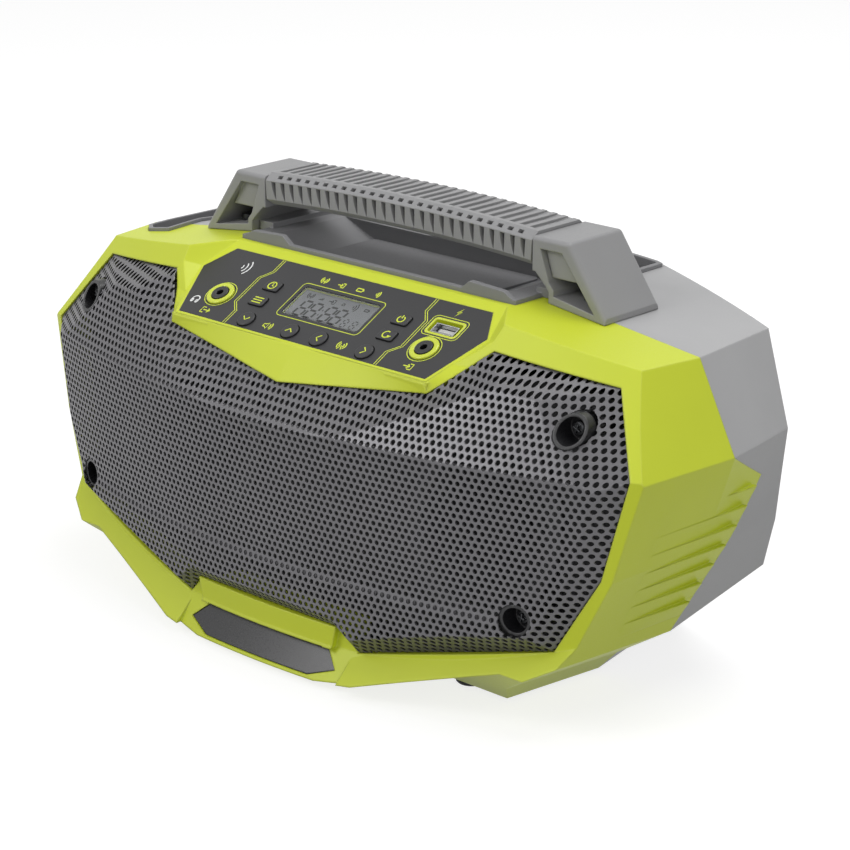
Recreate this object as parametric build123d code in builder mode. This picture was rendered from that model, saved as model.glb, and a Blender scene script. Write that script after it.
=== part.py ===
from build123d import *
import os
from math import atan, cos, degrees, sin

os.makedirs("parts", exist_ok=True)

# Jobsite radio. Millimetres, +Z up, front towards -Y, resting on Z = 0.

# ---------------------------------------------------------------- overall body
DECK_HEIGHT = 169.5        # flat middle of the top deck
DECK_HALF = 88.0           # half width of that flat middle
BELLY_HEIGHT = 3.6         # underside at the centre line
SEAM_Y = 7.0               # joint between front frame and rear housing
SHOULDER_HALF = 171.0      # top outer edge, at the seam
SHOULDER_HEIGHT = 159.0
WAIST_HALF = 191.0         # widest edge, at the seam
WAIST_HEIGHT = 119.0
THIGH_HALF = 176.3         # slight bend of the side below the waist, at the seam
THIGH_HEIGHT = 75.0
HIP_HALF = 160.0           # lower outer edge, at the seam
HIP_HEIGHT = 32.0
HEEL_HALF = 60.0           # where the underside starts to rise
SHOULDER_FLARE = 0.19      # outward growth per mm towards the seam
WAIST_FLARE = 0.1
THIGH_FLARE = 0.04
HIP_FLARE = 0.065
HIP_FALL = -0.04           # upward per mm ahead of the seam, as a rise
SHOULDER_TAPER = 0.09      # inward per mm behind the seam
WAIST_TAPER = 0.15
THIGH_SPREAD = 0.02
HIP_SPREAD = 0.18          # outward and upward per mm behind the seam
HIP_RISE = 0.34
FRONT_REACH = 110.0        # lofts run past the curved cuts by this much
REAR_REACH = 112.0

# ------------------------------------------------------- curved front and rear
FACE_Y = -83.0             # upright middle of the front face, on the centre line
FACE_RADIUS = 500.0        # sweep from side to side
FACE_CREASE = 119.5        # the face leans back above this height
FACE_LEAN = 0.78           # run over rise of the leaning part
LIP_HEIGHT = 18.0          # the face comes forward below this height
LIP_LEAN = 0.75
LIP_PITCH = 1.0            # the same below the opening's outer feet
LIP_HALF = 52.0            # those side lips start here
DRUM_REACH = 500.0         # curved and flat cuts run this far past the body
BACK_Y = 94.0              # rearmost point
BACK_RADIUS = 450.0

# ------------------------------------------------------------------- mouldings
WALL = 3.0
RIM_DEPTH = 4.0
SEAT = 0.2                 # clearance between fixed pieces that curve

# ------------------------------------------- speaker opening, seen from in front
OPEN_TOP_HALF = 160.0
OPEN_TOP_HEIGHT = 152.0
OPEN_WAIST_HALF = 180.0
OPEN_WAIST_HEIGHT = 120.0
OPEN_THIGH_HALF = 169.3
OPEN_THIGH_HEIGHT = 75.0
OPEN_LOW_HALF = 150.0
OPEN_LOW_HEIGHT = 40.0
BEZEL_HALF = 100.0
BEZEL_HEIGHT = 158.0
CHIN_HALF = 80.6
CHIN_HEIGHT = 140.0
CHIN_DROP = 9.6            # the middle of the chin hangs lower by this
SILL_HALF = 54.4           # foot of the step round the badge
SILL_HEIGHT = 17.6
LEDGE_HALF = 44.5          # top of that step
LEDGE_HEIGHT = 28.5

# --------------------------------------------------------------- control panel
PANEL_ANGLE = 27.9         # tilt of the panel from level
PANEL_Y = -62.0            # front edge of the panel, top surface
PANEL_Z = 145.45
PANEL_LENGTH = 45.6        # up the slope
PANEL_FRONT_HALF = 77.8
PANEL_MID_HALF = 89.4
PANEL_MID = 30.1
PANEL_REAR_HALF = 80.5
PANEL_THICK = 1.6
PANEL_MARGIN = 2.0
KEY_SIDE = 37.4            # volume down, scan up
KEY_INNER = 9.1            # volume up, scan down
KEY_ROW = 5.4
KEY_RADIUS = 4.4
BAR_SIDE = 40.7            # rectangular keys
BAR_REAR_ROW = 28.2
BAR_FRONT_ROW = 17.6
BAR_LENGTH = 9.4
BAR_WIDTH = 6.0
KEY_GAP = 0.35             # round each key in the overlay
KEY_RISE = 0.9             # key top above the overlay
KEY_TRAVEL = 0.8
KEY_STEM = 2.4
LENS_HALF = 25.3
LENS_FRONT = 13.6
LENS_REAR = 35.1
LENS_CORNER = 2.0
JACK_SIDE = 64.4
JACK_ROW = 16.0
JACK_RING_RADIUS = 7.0
JACK_BODY_RADIUS = 4.2
JACK_BORE_RADIUS = 1.8
JACK_BORE_LENGTH = 12.4
USB_SIDE = 64.9
USB_ROW = 30.4
USB_WELL_WIDTH = 18.5
USB_WELL_LENGTH = 10.5
USB_WELL_DEPTH = 3.0
USB_SHELL_WIDTH = 13.1
USB_SHELL_HEIGHT = 5.7
USB_SHELL_LENGTH = 14.0

# -------------------------------------------------------------------- handle
HANDLE_TOP = 197.5         # at the knees
HANDLE_CROWN = 2.6         # extra height of the arched grip's middle
HANDLE_FRONT = 0.0
HANDLE_REAR = 37.0
KNEE_HALF = 104.0
FOOT_HALF = 125.0
FOOT_INNER_HALF = 93.4
GRIP_HALF = 84.0
GRIP_DEPTH = 15.5          # grip thickness, top to bottom
POST_SKIN = 4.0
POST_WEB = 2.6
GRIP_CHAMFER = 4.2
GRIP_SLOTS = 27

# ---------------------------------------------------------------------- tray
TRAY_HALF = 86.0
TRAY_FRONT = -13.3
TRAY_REAR = 45.0
TRAY_FLOOR = 163.5
TRAY_LIP = 171.4
TRAY_TAB_HEIGHT = 175.2
TRAY_TAB_IN = 56.0
TRAY_TAB_OUT = 82.0
HUMP_TOP = 176.0           # raised wall behind the tray

# ------------------------------------------------------------ inside the case
BAFFLE_Y = -51.2           # a leaning plane through this point sets the baffle
BAFFLE_HEIGHT = 152.0
BAFFLE_TILT = atan(0.242)
BAFFLE_SETBACK = 31.0      # behind that plane
BAFFLE_THICK = 4.0
DRIVER_X = 92.0
DRIVER_Z = 83.0
DRIVER_RADIUS = 43.5       # frame flange
CONE_RADIUS = 36.5
MAGNET_RADIUS = 27.0
MAGNET_THICK = 12.0
DRIVER_DEPTH = 30.0
BAY_HALF = 41.0            # battery bay in the rear wall
BAY_LOW = 34.0
BAY_HIGH = 112.0
BAY_DEPTH = 46.0
FOOT_X = 84.0
FOOT_FRONT_Y = -38.0
FOOT_REAR_Y = 60.0
FOOT_RADIUS = 7.0


def corner(half, height, flare, y, rise=0.0):
    """Edge of the body at depth y: flare is outward growth per mm of depth."""
    return (half + flare * (y - SEAM_Y), height + rise * (y - SEAM_Y))


def body_section(y):
    """Right-hand half outline of the body at depth y, listed downwards."""
    if y <= SEAM_Y:
        flares = (SHOULDER_FLARE, WAIST_FLARE, THIGH_FLARE, HIP_FLARE)
        rise = HIP_FALL
    else:
        flares = (-SHOULDER_TAPER, -WAIST_TAPER, THIGH_SPREAD, HIP_SPREAD)
        rise = HIP_RISE
    return [
        (DECK_HALF, DECK_HEIGHT),
        corner(SHOULDER_HALF, SHOULDER_HEIGHT, flares[0], y),
        corner(WAIST_HALF, WAIST_HEIGHT, flares[1], y),
        corner(THIGH_HALF, THIGH_HEIGHT, flares[2], y),
        corner(HIP_HALF, HIP_HEIGHT, flares[3], y, rise),
        (HEEL_HALF, BELLY_HEIGHT + 3.0),
        (HEEL_HALF - 22.0, BELLY_HEIGHT),
    ]


def grown(points, amount):
    """Closed outline moved outwards by amount along every edge, corners kept sharp."""
    count = len(points)
    area = sum(
        points[i][0] * points[(i + 1) % count][1] - points[(i + 1) % count][0] * points[i][1]
        for i in range(count)
    )
    turn = 1 if area > 0 else -1
    edges = []
    for i in range(count):
        (x0, y0), (x1, y1) = points[i], points[(i + 1) % count]
        length = ((x1 - x0) ** 2 + (y1 - y0) ** 2) ** 0.5
        normal = (turn * (y1 - y0) / length, -turn * (x1 - x0) / length)
        edges.append((normal, normal[0] * x0 + normal[1] * y0 + amount))
    moved = []
    for i in range(count):
        ((ax, ay), a), ((bx, by), b) = edges[i - 1], edges[i]
        cross = ax * by - ay * bx
        moved.append(((a * by - b * ay) / cross, (b * ax - a * bx) / cross))
    return moved


def mirrored(right):
    """Closed outline from a right-hand half listed from top to bottom."""
    return right + [(-x, z) for x, z in reversed(right)]


def body_loft(inset):
    """Solid inside the side walls, before the curved cuts, shrunk by inset."""
    with BuildPart() as block:
        for y_pair in ((-FRONT_REACH, SEAM_Y), (SEAM_Y, REAR_REACH)):
            for y in y_pair:
                with BuildSketch(Plane.XZ.offset(-y)):
                    with BuildLine():
                        Polyline(*grown(mirrored(body_section(y)), -inset), close=True)
                    make_face()
            loft(ruled=True)
    return block.part


def drum(front, radius, height, lean, depth):
    """Everything behind a sweep from side to side that leans back about a height."""
    tilt = atan(lean)
    across = radius / cos(tilt)
    base = Plane((0, front, height), x_dir=(1, 0, 0), z_dir=(0, sin(tilt), cos(tilt)))
    with BuildPart() as sweep:
        with BuildSketch(base):
            with Locations((0, across)):
                Circle(across - depth)
        extrude(amount=DRUM_REACH, both=True)
    return sweep.part


def drum_y(front, radius, height, lean, depth, x, z):
    """Depth at which such a sweep stands, at x and height z."""
    tilt = atan(lean)
    across = radius / cos(tilt)
    sag = across - ((across - depth) ** 2 - x**2) ** 0.5
    return front + sag / cos(tilt) + lean * (z - height)


def face_point(x, z, depth):
    """Point on the front face above its lip, depth mm behind it."""
    upright = drum_y(FACE_Y, FACE_RADIUS, FACE_CREASE, 0, depth, x, z)
    leaning = drum_y(FACE_Y, FACE_RADIUS, FACE_CREASE, FACE_LEAN, depth, x, z)
    return Vector(x, max(upright, leaning), z)


def bevel(start, end, pitch, shift):
    """Half space behind a plane through two points of the opening's edge.

    The plane comes forward by pitch for each mm towards the left of start to end.
    """
    along = (end - start).normalized()
    inward = Vector(-along.Z, 0, along.X).normalized()
    normal = along.cross(inward - Vector(0, pitch, 0)).normalized()
    if normal.Y > 0:
        normal = -normal
    with BuildPart() as half:
        with BuildSketch(Plane((start + end) / 2 - normal * shift, x_dir=along, z_dir=normal)):
            Rectangle(2 * DRUM_REACH, 2 * DRUM_REACH)
        extrude(amount=-DRUM_REACH)
    return half.part


def mirror_edges(edges):
    """The same edges on the left-hand side, listed the same way round."""
    return [
        (Vector(-end.X, end.Y, end.Z), Vector(-start.X, start.Y, start.Z), pitch)
        for start, end, pitch in edges
    ]


LIP_EDGE = (
    face_point(OPEN_LOW_HALF, OPEN_LOW_HEIGHT, 0),
    face_point(SILL_HALF, SILL_HEIGHT, 0),
    LIP_PITCH,
)


def side_lip(edge, side, depth):
    """Everything behind the lip under one outer foot of the opening."""
    with BuildPart() as lip:
        add(bevel(*edge, depth))
        with BuildSketch(Plane.YZ.offset(side * LIP_HALF)):
            Rectangle(2 * DRUM_REACH, 2 * DRUM_REACH)
        extrude(amount=side * DRUM_REACH, mode=Mode.INTERSECT)
    return lip.part


def face_barrel(depth):
    """Everything behind the curved front face, starting depth mm behind it."""
    with BuildPart() as face:
        add(drum(FACE_Y, FACE_RADIUS, LIP_HEIGHT, 0, depth))
        add(drum(FACE_Y, FACE_RADIUS, LIP_HEIGHT, LIP_LEAN, depth))
        add(side_lip(LIP_EDGE, 1, depth))
        add(side_lip(mirror_edges([LIP_EDGE])[0], -1, depth))
        add(drum(FACE_Y, FACE_RADIUS, FACE_CREASE, FACE_LEAN, depth), mode=Mode.INTERSECT)
    return face.part


def back_barrel(depth):
    """Everything in front of the curved rear face, starting depth inside it."""
    with BuildPart() as drum:
        with BuildSketch(Plane.XY):
            with Locations((0, BACK_Y - BACK_RADIUS)):
                Circle(BACK_RADIUS - depth)
        extrude(amount=240)
    return drum.part


def envelope(inset, front_depth, back_depth):
    """Body solid shrunk by inset at the sides and by the depths at the ends."""
    with BuildPart() as solid:
        add(body_loft(inset))
        add(face_barrel(front_depth), mode=Mode.INTERSECT)
        add(back_barrel(back_depth), mode=Mode.INTERSECT)
    return solid.part


def opening_outline():
    """Speaker opening seen from in front, from the chin round to the ledge."""
    right = [
        (CHIN_HALF, CHIN_HEIGHT),
        (BEZEL_HALF, BEZEL_HEIGHT),
        (OPEN_TOP_HALF, OPEN_TOP_HEIGHT),
        (OPEN_WAIST_HALF, OPEN_WAIST_HEIGHT),
        (OPEN_THIGH_HALF, OPEN_THIGH_HEIGHT),
        (OPEN_LOW_HALF, OPEN_LOW_HEIGHT),
        (SILL_HALF, SILL_HEIGHT),
        (LEDGE_HALF, LEDGE_HEIGHT),
    ]
    return [(0, CHIN_HEIGHT - CHIN_DROP)] + mirrored(right)


def opening_prism(inset, near=-FRONT_REACH, far=0.0):
    """The speaker opening as a prism along Y, shrunk by inset."""
    with BuildPart() as prism:
        with BuildSketch(Plane.XZ.offset(-far)):
            with BuildLine():
                Polyline(*grown(opening_outline(), -inset), close=True)
            make_face()
        extrude(amount=far - near)
    return prism.part


PANEL_PLANE = Plane(
    origin=(0, PANEL_Y, PANEL_Z),
    x_dir=(1, 0, 0),
    z_dir=Vector(0, -1, 0).rotate(Axis.X, -(90 - PANEL_ANGLE)),
)
PANEL_AXIS = Axis(PANEL_PLANE.origin, PANEL_PLANE.z_dir)


def panel_points(grow):
    """Outline of the control panel in its own plane, clockwise from the front left."""
    right = [
        (PANEL_FRONT_HALF + grow, -grow),
        (PANEL_MID_HALF + grow, PANEL_MID),
        (PANEL_REAR_HALF + grow, PANEL_LENGTH + grow),
    ]
    return [(-x, y) for x, y in right] + right[::-1]


def panel_block(top, bottom, grow=0.0):
    """Panel-shaped slab between two heights above the panel plane."""
    with BuildPart() as slab:
        with BuildSketch(PANEL_PLANE.offset(bottom)):
            with BuildLine():
                Polyline(*panel_points(grow), close=True)
            make_face()
        extrude(amount=top - bottom)
    return slab.part


def export(piece, name):
    """Label a finished piece and write it to its own file."""
    piece.label = name
    export_step(piece, f"parts/{name}.step")
    return piece


# ------------------------------------------------------------- seam and shells
CHEEK_Y = 38.0             # the ribbed cheek reaches back to here
CHEEK_HEIGHT = 102.0

with BuildPart() as seam_prism:
    with BuildSketch(Plane.YZ.offset(-WAIST_HALF - 10)):
        with BuildLine():
            Polyline(
                (-FRONT_REACH - 20, -10),
                (SEAM_Y, -10),
                (SEAM_Y, HIP_HEIGHT),
                (CHEEK_Y, CHEEK_HEIGHT),
                (SEAM_Y, WAIST_HEIGHT),
                (SEAM_Y, HANDLE_TOP + 20),
                (-FRONT_REACH - 20, HANDLE_TOP + 20),
                close=True,
            )
        make_face()
    extrude(amount=2 * WAIST_HALF + 20)

outer_body = envelope(0, 0, 0)
inner_body = envelope(WALL, RIM_DEPTH, WALL)

# ------------------------------------------------------------------------ skids
SKID_INNER = 70.0
SKID_OUTER = 120.3         # outer edge of the sole, at the seam
SKID_FLARE = 0.153         # outward growth per mm towards the seam
SKID_TAPER = 0.18          # inward per mm behind the seam
SKID_CURB = (10.7, 13.5)   # first break of the flank: out from the sole, height
SKID_BOTTOM = 2.6
SKID_FRONT_Y = -46.0
SKID_NOSE_Y = -73.0
SKID_NOSE_HEIGHT = 29.0
SKID_REAR_Y = 80.0
SKID_ROOT = 6.0            # runs up into the body by this
SKID_SIDE_RISE = 26.5      # rear flank, rise and run above the curb
SKID_SIDE_RUN = 18.0


def skid_section(y):
    """Right-hand outline of a skid at depth y, up into the body."""
    if y <= SEAM_Y:
        outer = SKID_OUTER + SKID_FLARE * (y - SEAM_Y)
        hip = corner(HIP_HALF, HIP_HEIGHT, HIP_FLARE, y, HIP_FALL)
    else:
        outer = SKID_OUTER - SKID_TAPER * (y - SEAM_Y)
        hip = (
            outer + SKID_CURB[0] + SKID_SIDE_RUN,
            SKID_CURB[1] + SKID_SIDE_RISE,
        )
    if y == SEAM_Y:
        hip = (HIP_HALF, HIP_HEIGHT)
    return [
        (SKID_INNER - SKID_ROOT, hip[1] + SKID_ROOT),
        (SKID_INNER, SKID_BOTTOM),
        (outer, SKID_BOTTOM),
        (outer + SKID_CURB[0], SKID_CURB[1]),
        hip,
        (hip[0] - 1.5 * SKID_ROOT, hip[1] + SKID_ROOT),
    ]


with BuildPart() as skids:
    for side in (-1, 1):
        for y_pair in ((-FRONT_REACH, SEAM_Y), (SEAM_Y, REAR_REACH)):
            for y in y_pair:
                with BuildSketch(Plane.XZ.offset(-y)):
                    with BuildLine():
                        Polyline(*[(side * x, z) for x, z in skid_section(y)], close=True)
                    make_face()
            loft(ruled=True)
    with BuildSketch(Plane.YZ.offset(-WAIST_HALF)):
        with BuildLine():
            Polyline(
                (SKID_NOSE_Y, SKID_NOSE_HEIGHT),
                (SKID_FRONT_Y, SKID_BOTTOM),
                (SKID_REAR_Y, SKID_BOTTOM),
                (SKID_REAR_Y, CHEEK_HEIGHT),
                (SKID_NOSE_Y, CHEEK_HEIGHT),
                close=True,
            )
        make_face()
    extrude(amount=2 * WAIST_HALF, mode=Mode.INTERSECT)
    add(face_barrel(0), mode=Mode.INTERSECT)
    add(back_barrel(0), mode=Mode.INTERSECT)

# ------------------------------------------------------------------ front frame
LEDGE_PROUD = 3.0
LEDGE_LOW_HALF = 39.0
LEDGE_LOW = 17.6
TAB_HALF = 14.0
TAB_LOW = 15.4
BADGE_TOP_HALF = 37.0
BADGE_TIP_HALF = 46.5
BADGE_TIP = 9.4
BADGE_LOW_HALF = 33.0
BADGE_LOW = 5.0
BADGE_POCKET = 2.4
BADGE_THICK = 2.0
RIB_COUNT = 7
RIB_TOP = 99.0
RIB_PITCH = 8.6
RIB_HEIGHT = 7.2
RIB_PROUD = 2.6
RIB_FRONT_Y = -30.0

CHIN_BACK = 16.0           # the chin and the blocks beside it root this far behind
CHIN_LIP = 1.8             # the chin's top edge, ahead of the panel and below it
CHIN_LIP_DROP = 0.95
CHIN_REACH = 13.6          # foot of the chin ahead of the panel, at the middle
CHIN_SIDE_REACH = 2.2      # and at its outer ends
CHIN_TRIM = 1.0            # its foot runs this far into the opening and is cut off

with BuildPart() as chin:
    for side in (-1, 1):
        with BuildSketch(Plane.YZ):
            with BuildLine():
                Polyline(
                    (PANEL_Y - CHIN_LIP, PANEL_Z - CHIN_LIP_DROP),
                    (PANEL_Y - CHIN_REACH, CHIN_HEIGHT - CHIN_DROP - CHIN_TRIM),
                    (PANEL_Y + CHIN_BACK, CHIN_HEIGHT - CHIN_DROP - CHIN_TRIM),
                    (PANEL_Y + CHIN_BACK, PANEL_Z - CHIN_LIP_DROP),
                    close=True,
                )
            make_face()
        with BuildSketch(Plane.YZ.offset(side * CHIN_HALF)):
            with BuildLine():
                Polyline(
                    (PANEL_Y - CHIN_LIP, PANEL_Z - CHIN_LIP_DROP),
                    (PANEL_Y - CHIN_SIDE_REACH, CHIN_HEIGHT - CHIN_TRIM),
                    (PANEL_Y + CHIN_BACK, CHIN_HEIGHT - CHIN_TRIM),
                    (PANEL_Y + CHIN_BACK, PANEL_Z - CHIN_LIP_DROP),
                    close=True,
                )
            make_face()
        loft(ruled=True)

CHEEK_INNER = 56.0         # the bezel's side blocks start here
CHEEK_FRONT = 2.4          # ahead of the panel's front edge
CHEEK_REAR = 26.0          # and behind it
CHEEK_ROOT = 8.0           # they reach this far below the opening's edge
CHEEK_REAR_RISE = 13.8     # top of the rear end above the panel's front edge
CHEEK_FRONT_FALL = 1.6
CHEEK_CORNER = 4.5         # rear outer corner outside the opening's corner
PANEL_WAY = 1.4            # room beside the panel
with BuildPart() as bezel_cheeks:
    for side in (-1, 1):
        with BuildSketch(Plane.XZ.offset(-(PANEL_Y - CHEEK_FRONT))):
            with BuildLine():
                Polyline(
                    (side * CHEEK_INNER, CHIN_HEIGHT - CHEEK_ROOT),
                    (side * CHEEK_INNER, PANEL_Z - CHEEK_FRONT_FALL),
                    (side * (PANEL_FRONT_HALF + PANEL_WAY), PANEL_Z - CHEEK_FRONT_FALL),
                    (side * (CHIN_HALF + 0.4), CHIN_HEIGHT - CHIN_TRIM),
                    (side * (CHIN_HALF + 0.4), CHIN_HEIGHT - CHEEK_ROOT),
                    close=True,
                )
            make_face()
        with BuildSketch(Plane.XZ.offset(-(PANEL_Y + CHEEK_REAR))):
            with BuildLine():
                Polyline(
                    (side * CHEEK_INNER, BEZEL_HEIGHT - CHEEK_ROOT),
                    (side * CHEEK_INNER, PANEL_Z + CHEEK_REAR_RISE),
                    (side * (PANEL_MID_HALF + 1.0), PANEL_Z + CHEEK_REAR_RISE),
                    (side * (BEZEL_HALF + CHEEK_CORNER), BEZEL_HEIGHT + CHEEK_CORNER),
                    (side * (BEZEL_HALF + CHEEK_CORNER), BEZEL_HEIGHT - CHEEK_ROOT),
                    close=True,
                )
            make_face()
        loft(ruled=True)


FUNNEL_FRONT = 6.0         # the space over the panel runs this far ahead of it
FUNNEL_REAR = 14.0
FUNNEL_STEP = 10.0         # its top reaches this much further than its foot
FUNNEL_HEIGHT = 16.0
FUNNEL_SPREAD = (40.0, 28.0, 14.0)     # wider at its top: front, middle, rear


def panel_funnel(grow, drop):
    """Space above the panel that opens out towards the deck, grown by a wall."""
    low = [
        (PANEL_FRONT_HALF + PANEL_WAY + grow, -FUNNEL_FRONT - grow),
        (PANEL_MID_HALF + PANEL_WAY + grow, PANEL_MID),
        (PANEL_REAR_HALF + PANEL_WAY + grow, PANEL_LENGTH + FUNNEL_REAR),
    ]
    high = [
        (PANEL_FRONT_HALF + FUNNEL_SPREAD[0] + grow, -FUNNEL_FRONT - FUNNEL_STEP - grow),
        (PANEL_MID_HALF + FUNNEL_SPREAD[1] + grow, PANEL_MID - FUNNEL_REAR),
        (PANEL_REAR_HALF + FUNNEL_SPREAD[2] + grow, PANEL_LENGTH + FUNNEL_REAR + FUNNEL_STEP),
    ]
    with BuildPart() as funnel:
        for level, right in ((-drop, low), (FUNNEL_HEIGHT, high)):
            with BuildSketch(PANEL_PLANE.offset(level)):
                with BuildLine():
                    Polyline(*[(-x, y) for x, y in right], *right[::-1], close=True)
                make_face()
        loft(ruled=True)
    return funnel.part


with BuildPart() as ledge:
    with BuildSketch(Plane.XZ.offset(60)):
        with BuildLine():
            Polyline(
                (-LEDGE_HALF, LEDGE_HEIGHT),
                (LEDGE_HALF, LEDGE_HEIGHT),
                (LEDGE_LOW_HALF + 3, LEDGE_LOW),
                (TAB_HALF + 2, LEDGE_LOW),
                (TAB_HALF, TAB_LOW),
                (-TAB_HALF, TAB_LOW),
                (-TAB_HALF - 2, LEDGE_LOW),
                (-LEDGE_LOW_HALF - 3, LEDGE_LOW),
                close=True,
            )
        make_face()
    extrude(amount=60)
    add(face_barrel(-LEDGE_PROUD), mode=Mode.INTERSECT)

with BuildPart() as badge_pocket:
    with BuildSketch(Plane.XZ.offset(60)):
        with BuildLine():
            Polyline(
                (-BADGE_TOP_HALF - SEAT, LEDGE_LOW + SEAT),
                (BADGE_TOP_HALF + SEAT, LEDGE_LOW + SEAT),
                (BADGE_TIP_HALF + 2 * SEAT, BADGE_TIP),
                (BADGE_LOW_HALF + SEAT, BADGE_LOW - SEAT),
                (-BADGE_LOW_HALF - SEAT, BADGE_LOW - SEAT),
                (-BADGE_TIP_HALF - 2 * SEAT, BADGE_TIP),
                close=True,
            )
        make_face()
    extrude(amount=60)

with BuildPart() as badge_cut:
    add(badge_pocket.part)
    add(face_barrel(BADGE_POCKET), mode=Mode.SUBTRACT)


def cheek_x(y, z):
    """Half width of the cheek between waist and hip, at depth y and height z."""
    waist, thigh, hip = body_section(y)[2:5]
    top, low = (waist, thigh) if z > thigh[1] else (thigh, hip)
    return low[0] + (z - low[1]) * (top[0] - low[0]) / (top[1] - low[1])


def rib(index, side):
    """One tapered fin on the side cheek, widest at its rear end."""
    top = RIB_TOP - index * RIB_PITCH
    low = top - RIB_HEIGHT
    rear = SEAM_Y - 1.5 + (CHEEK_Y - SEAM_Y) * (low - HIP_HEIGHT) / (CHEEK_HEIGHT - HIP_HEIGHT)
    with BuildPart() as fin:
        for y, proud in ((RIB_FRONT_Y, 0.05), (rear, RIB_PROUD)):
            with BuildSketch(Plane.XZ.offset(-y)):
                with BuildLine():
                    Polyline(
                        (side * (cheek_x(y, top) - WALL / 2), top),
                        (side * (cheek_x(y, top) + proud), top),
                        (side * (cheek_x(y, low) + proud * 0.2), low),
                        (side * (cheek_x(y, low) - WALL / 2), low),
                        close=True,
                    )
                make_face()
        loft(ruled=True)
    return fin.part


SEAT_THICK = 2.4           # floor under the panel overlay
SEAT_LOW = -PANEL_THICK - SEAT_THICK
KEY_HOLE_DEPTH = 4.6
SOCKET_HOLE_DEPTH = 17.0
LENS_ROW = (LENS_FRONT + LENS_REAR) / 2
LENS_FRAME = 1.5           # rim of the overlay round the window
WINDOW_WIDTH = 2 * (LENS_HALF - LENS_FRAME)
WINDOW_LENGTH = LENS_REAR - LENS_FRONT - 2 * LENS_FRAME
USB_WELL_CORNER = 2.0
BOARD_DEPTH = 8.4          # top of the key board below the overlay's face
BOARD_THICK = 1.6
FLANGE_ROOM = 6.2          # depth of the room for the key flanges
WORKS_HALF = 48.0
WORKS_FRONT = -0.4
WORKS_BOARD_FRONT = 2.2
WORKS_REAR = 41.0
KEY_POINTS = [
    ("volume_down_key", -KEY_SIDE, KEY_ROW, "round"),
    ("volume_up_key", -KEY_INNER, KEY_ROW, "round"),
    ("scan_down_key", KEY_INNER, KEY_ROW, "round"),
    ("scan_up_key", KEY_SIDE, KEY_ROW, "round"),
    ("clock_key", -BAR_SIDE, BAR_REAR_ROW, "bar"),
    ("preset_key", -BAR_SIDE, BAR_FRONT_ROW, "bar"),
    ("power_key", BAR_SIDE, BAR_REAR_ROW, "bar"),
    ("mode_key", BAR_SIDE, BAR_FRONT_ROW, "bar"),
]


def key_sketch(shape, grow):
    """Plan of one key, at the current location."""
    if shape == "round":
        Circle(KEY_RADIUS + grow)
    else:
        RectangleRounded(BAR_LENGTH + 2 * grow, BAR_WIDTH + 2 * grow, 1.2 + grow)


def panel_cut(jack_radius):
    """Holes for keys, window and sockets, the jack holes of the given radius."""
    with BuildPart() as holes:
        with BuildSketch(PANEL_PLANE.offset(-KEY_HOLE_DEPTH)):
            for _, x, y, shape in KEY_POINTS:
                with Locations((x, y)):
                    key_sketch(shape, KEY_GAP)
            with Locations((0, LENS_ROW)):
                RectangleRounded(WINDOW_WIDTH + 2 * SEAT, WINDOW_LENGTH + 2 * SEAT, LENS_CORNER)
        extrude(amount=KEY_HOLE_DEPTH + PANEL_MARGIN)
        with BuildSketch(PANEL_PLANE.offset(-SOCKET_HOLE_DEPTH)):
            with Locations((-JACK_SIDE, JACK_ROW), (JACK_SIDE, JACK_ROW)):
                Circle(jack_radius)
            with Locations((USB_SIDE, USB_ROW)):
                RectangleRounded(
                    USB_WELL_WIDTH + 2 * SEAT,
                    USB_WELL_LENGTH + 2 * SEAT,
                    USB_WELL_CORNER + SEAT,
                )
        extrude(amount=SOCKET_HOLE_DEPTH + PANEL_MARGIN)
    return holes.part


def works_box(front, low, high):
    """Room under the panel for the key flanges or the key board."""
    with BuildPart() as room:
        with BuildSketch(PANEL_PLANE.offset(low)):
            with Locations((0, (front + WORKS_REAR) / 2)):
                Rectangle(2 * WORKS_HALF, WORKS_REAR - front)
        extrude(amount=high - low)
    return room.part


# Side trough: a shallow catch-all let into the deck, left of and behind the handle.
TROUGH_DEPTH = 7.0
TROUGH_PROUD = 1.6
TROUGH_WALL = 2.0
TROUGH_EDGE = 2.2          # back edge of the trough ahead of the rear face
TROUGH_POINTS = [
    (-163.0, -5.0),
    (-154.0, -12.5),
    (-142.5, -10.0),
    (-146.0, 15.0),
    (-131.0, 44.0),
    (-131.0, 63.0),
    (91.5, 63.0),
    (91.5, 120.0),
    (-163.0, 120.0),
]


def trough_prism(grow):
    """Trough outline, grown sideways, as a tall prism."""
    with BuildPart() as prism:
        with BuildSketch(Plane.XY.offset(SHOULDER_HEIGHT - 14)):
            with BuildLine():
                Polyline(*grown(TROUGH_POINTS, grow), close=True)
            make_face()
        extrude(amount=60)
        add(back_barrel(TROUGH_EDGE - grow), mode=Mode.INTERSECT)
    return prism.part


with BuildPart() as trough_hole:
    add(trough_prism(SEAT))
    add(body_loft(TROUGH_DEPTH + TROUGH_WALL + SEAT), mode=Mode.SUBTRACT)

with BuildPart() as trough_recess:
    add(trough_prism(-TROUGH_WALL))
    add(body_loft(TROUGH_DEPTH), mode=Mode.SUBTRACT)

with BuildPart() as side_trough:
    add(trough_prism(0))
    add(body_loft(-TROUGH_PROUD), mode=Mode.INTERSECT)
    add(body_loft(TROUGH_DEPTH + TROUGH_WALL), mode=Mode.SUBTRACT)
    add(trough_recess.part, mode=Mode.SUBTRACT)
export(side_trough.part, "side_trough")

# Deck tray between the handle posts.
TRAY_BASE = 158.0
TRAY_LAST = 60.0
TRAY_FLOOR_HALF = 54.0
RAIL_INNER = 83.0
RAIL_OUTER = 92.0
RAIL_TOP = 174.0
RAIL_FRONT = 4.0
HUMP_LEFT = -18.0

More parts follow.
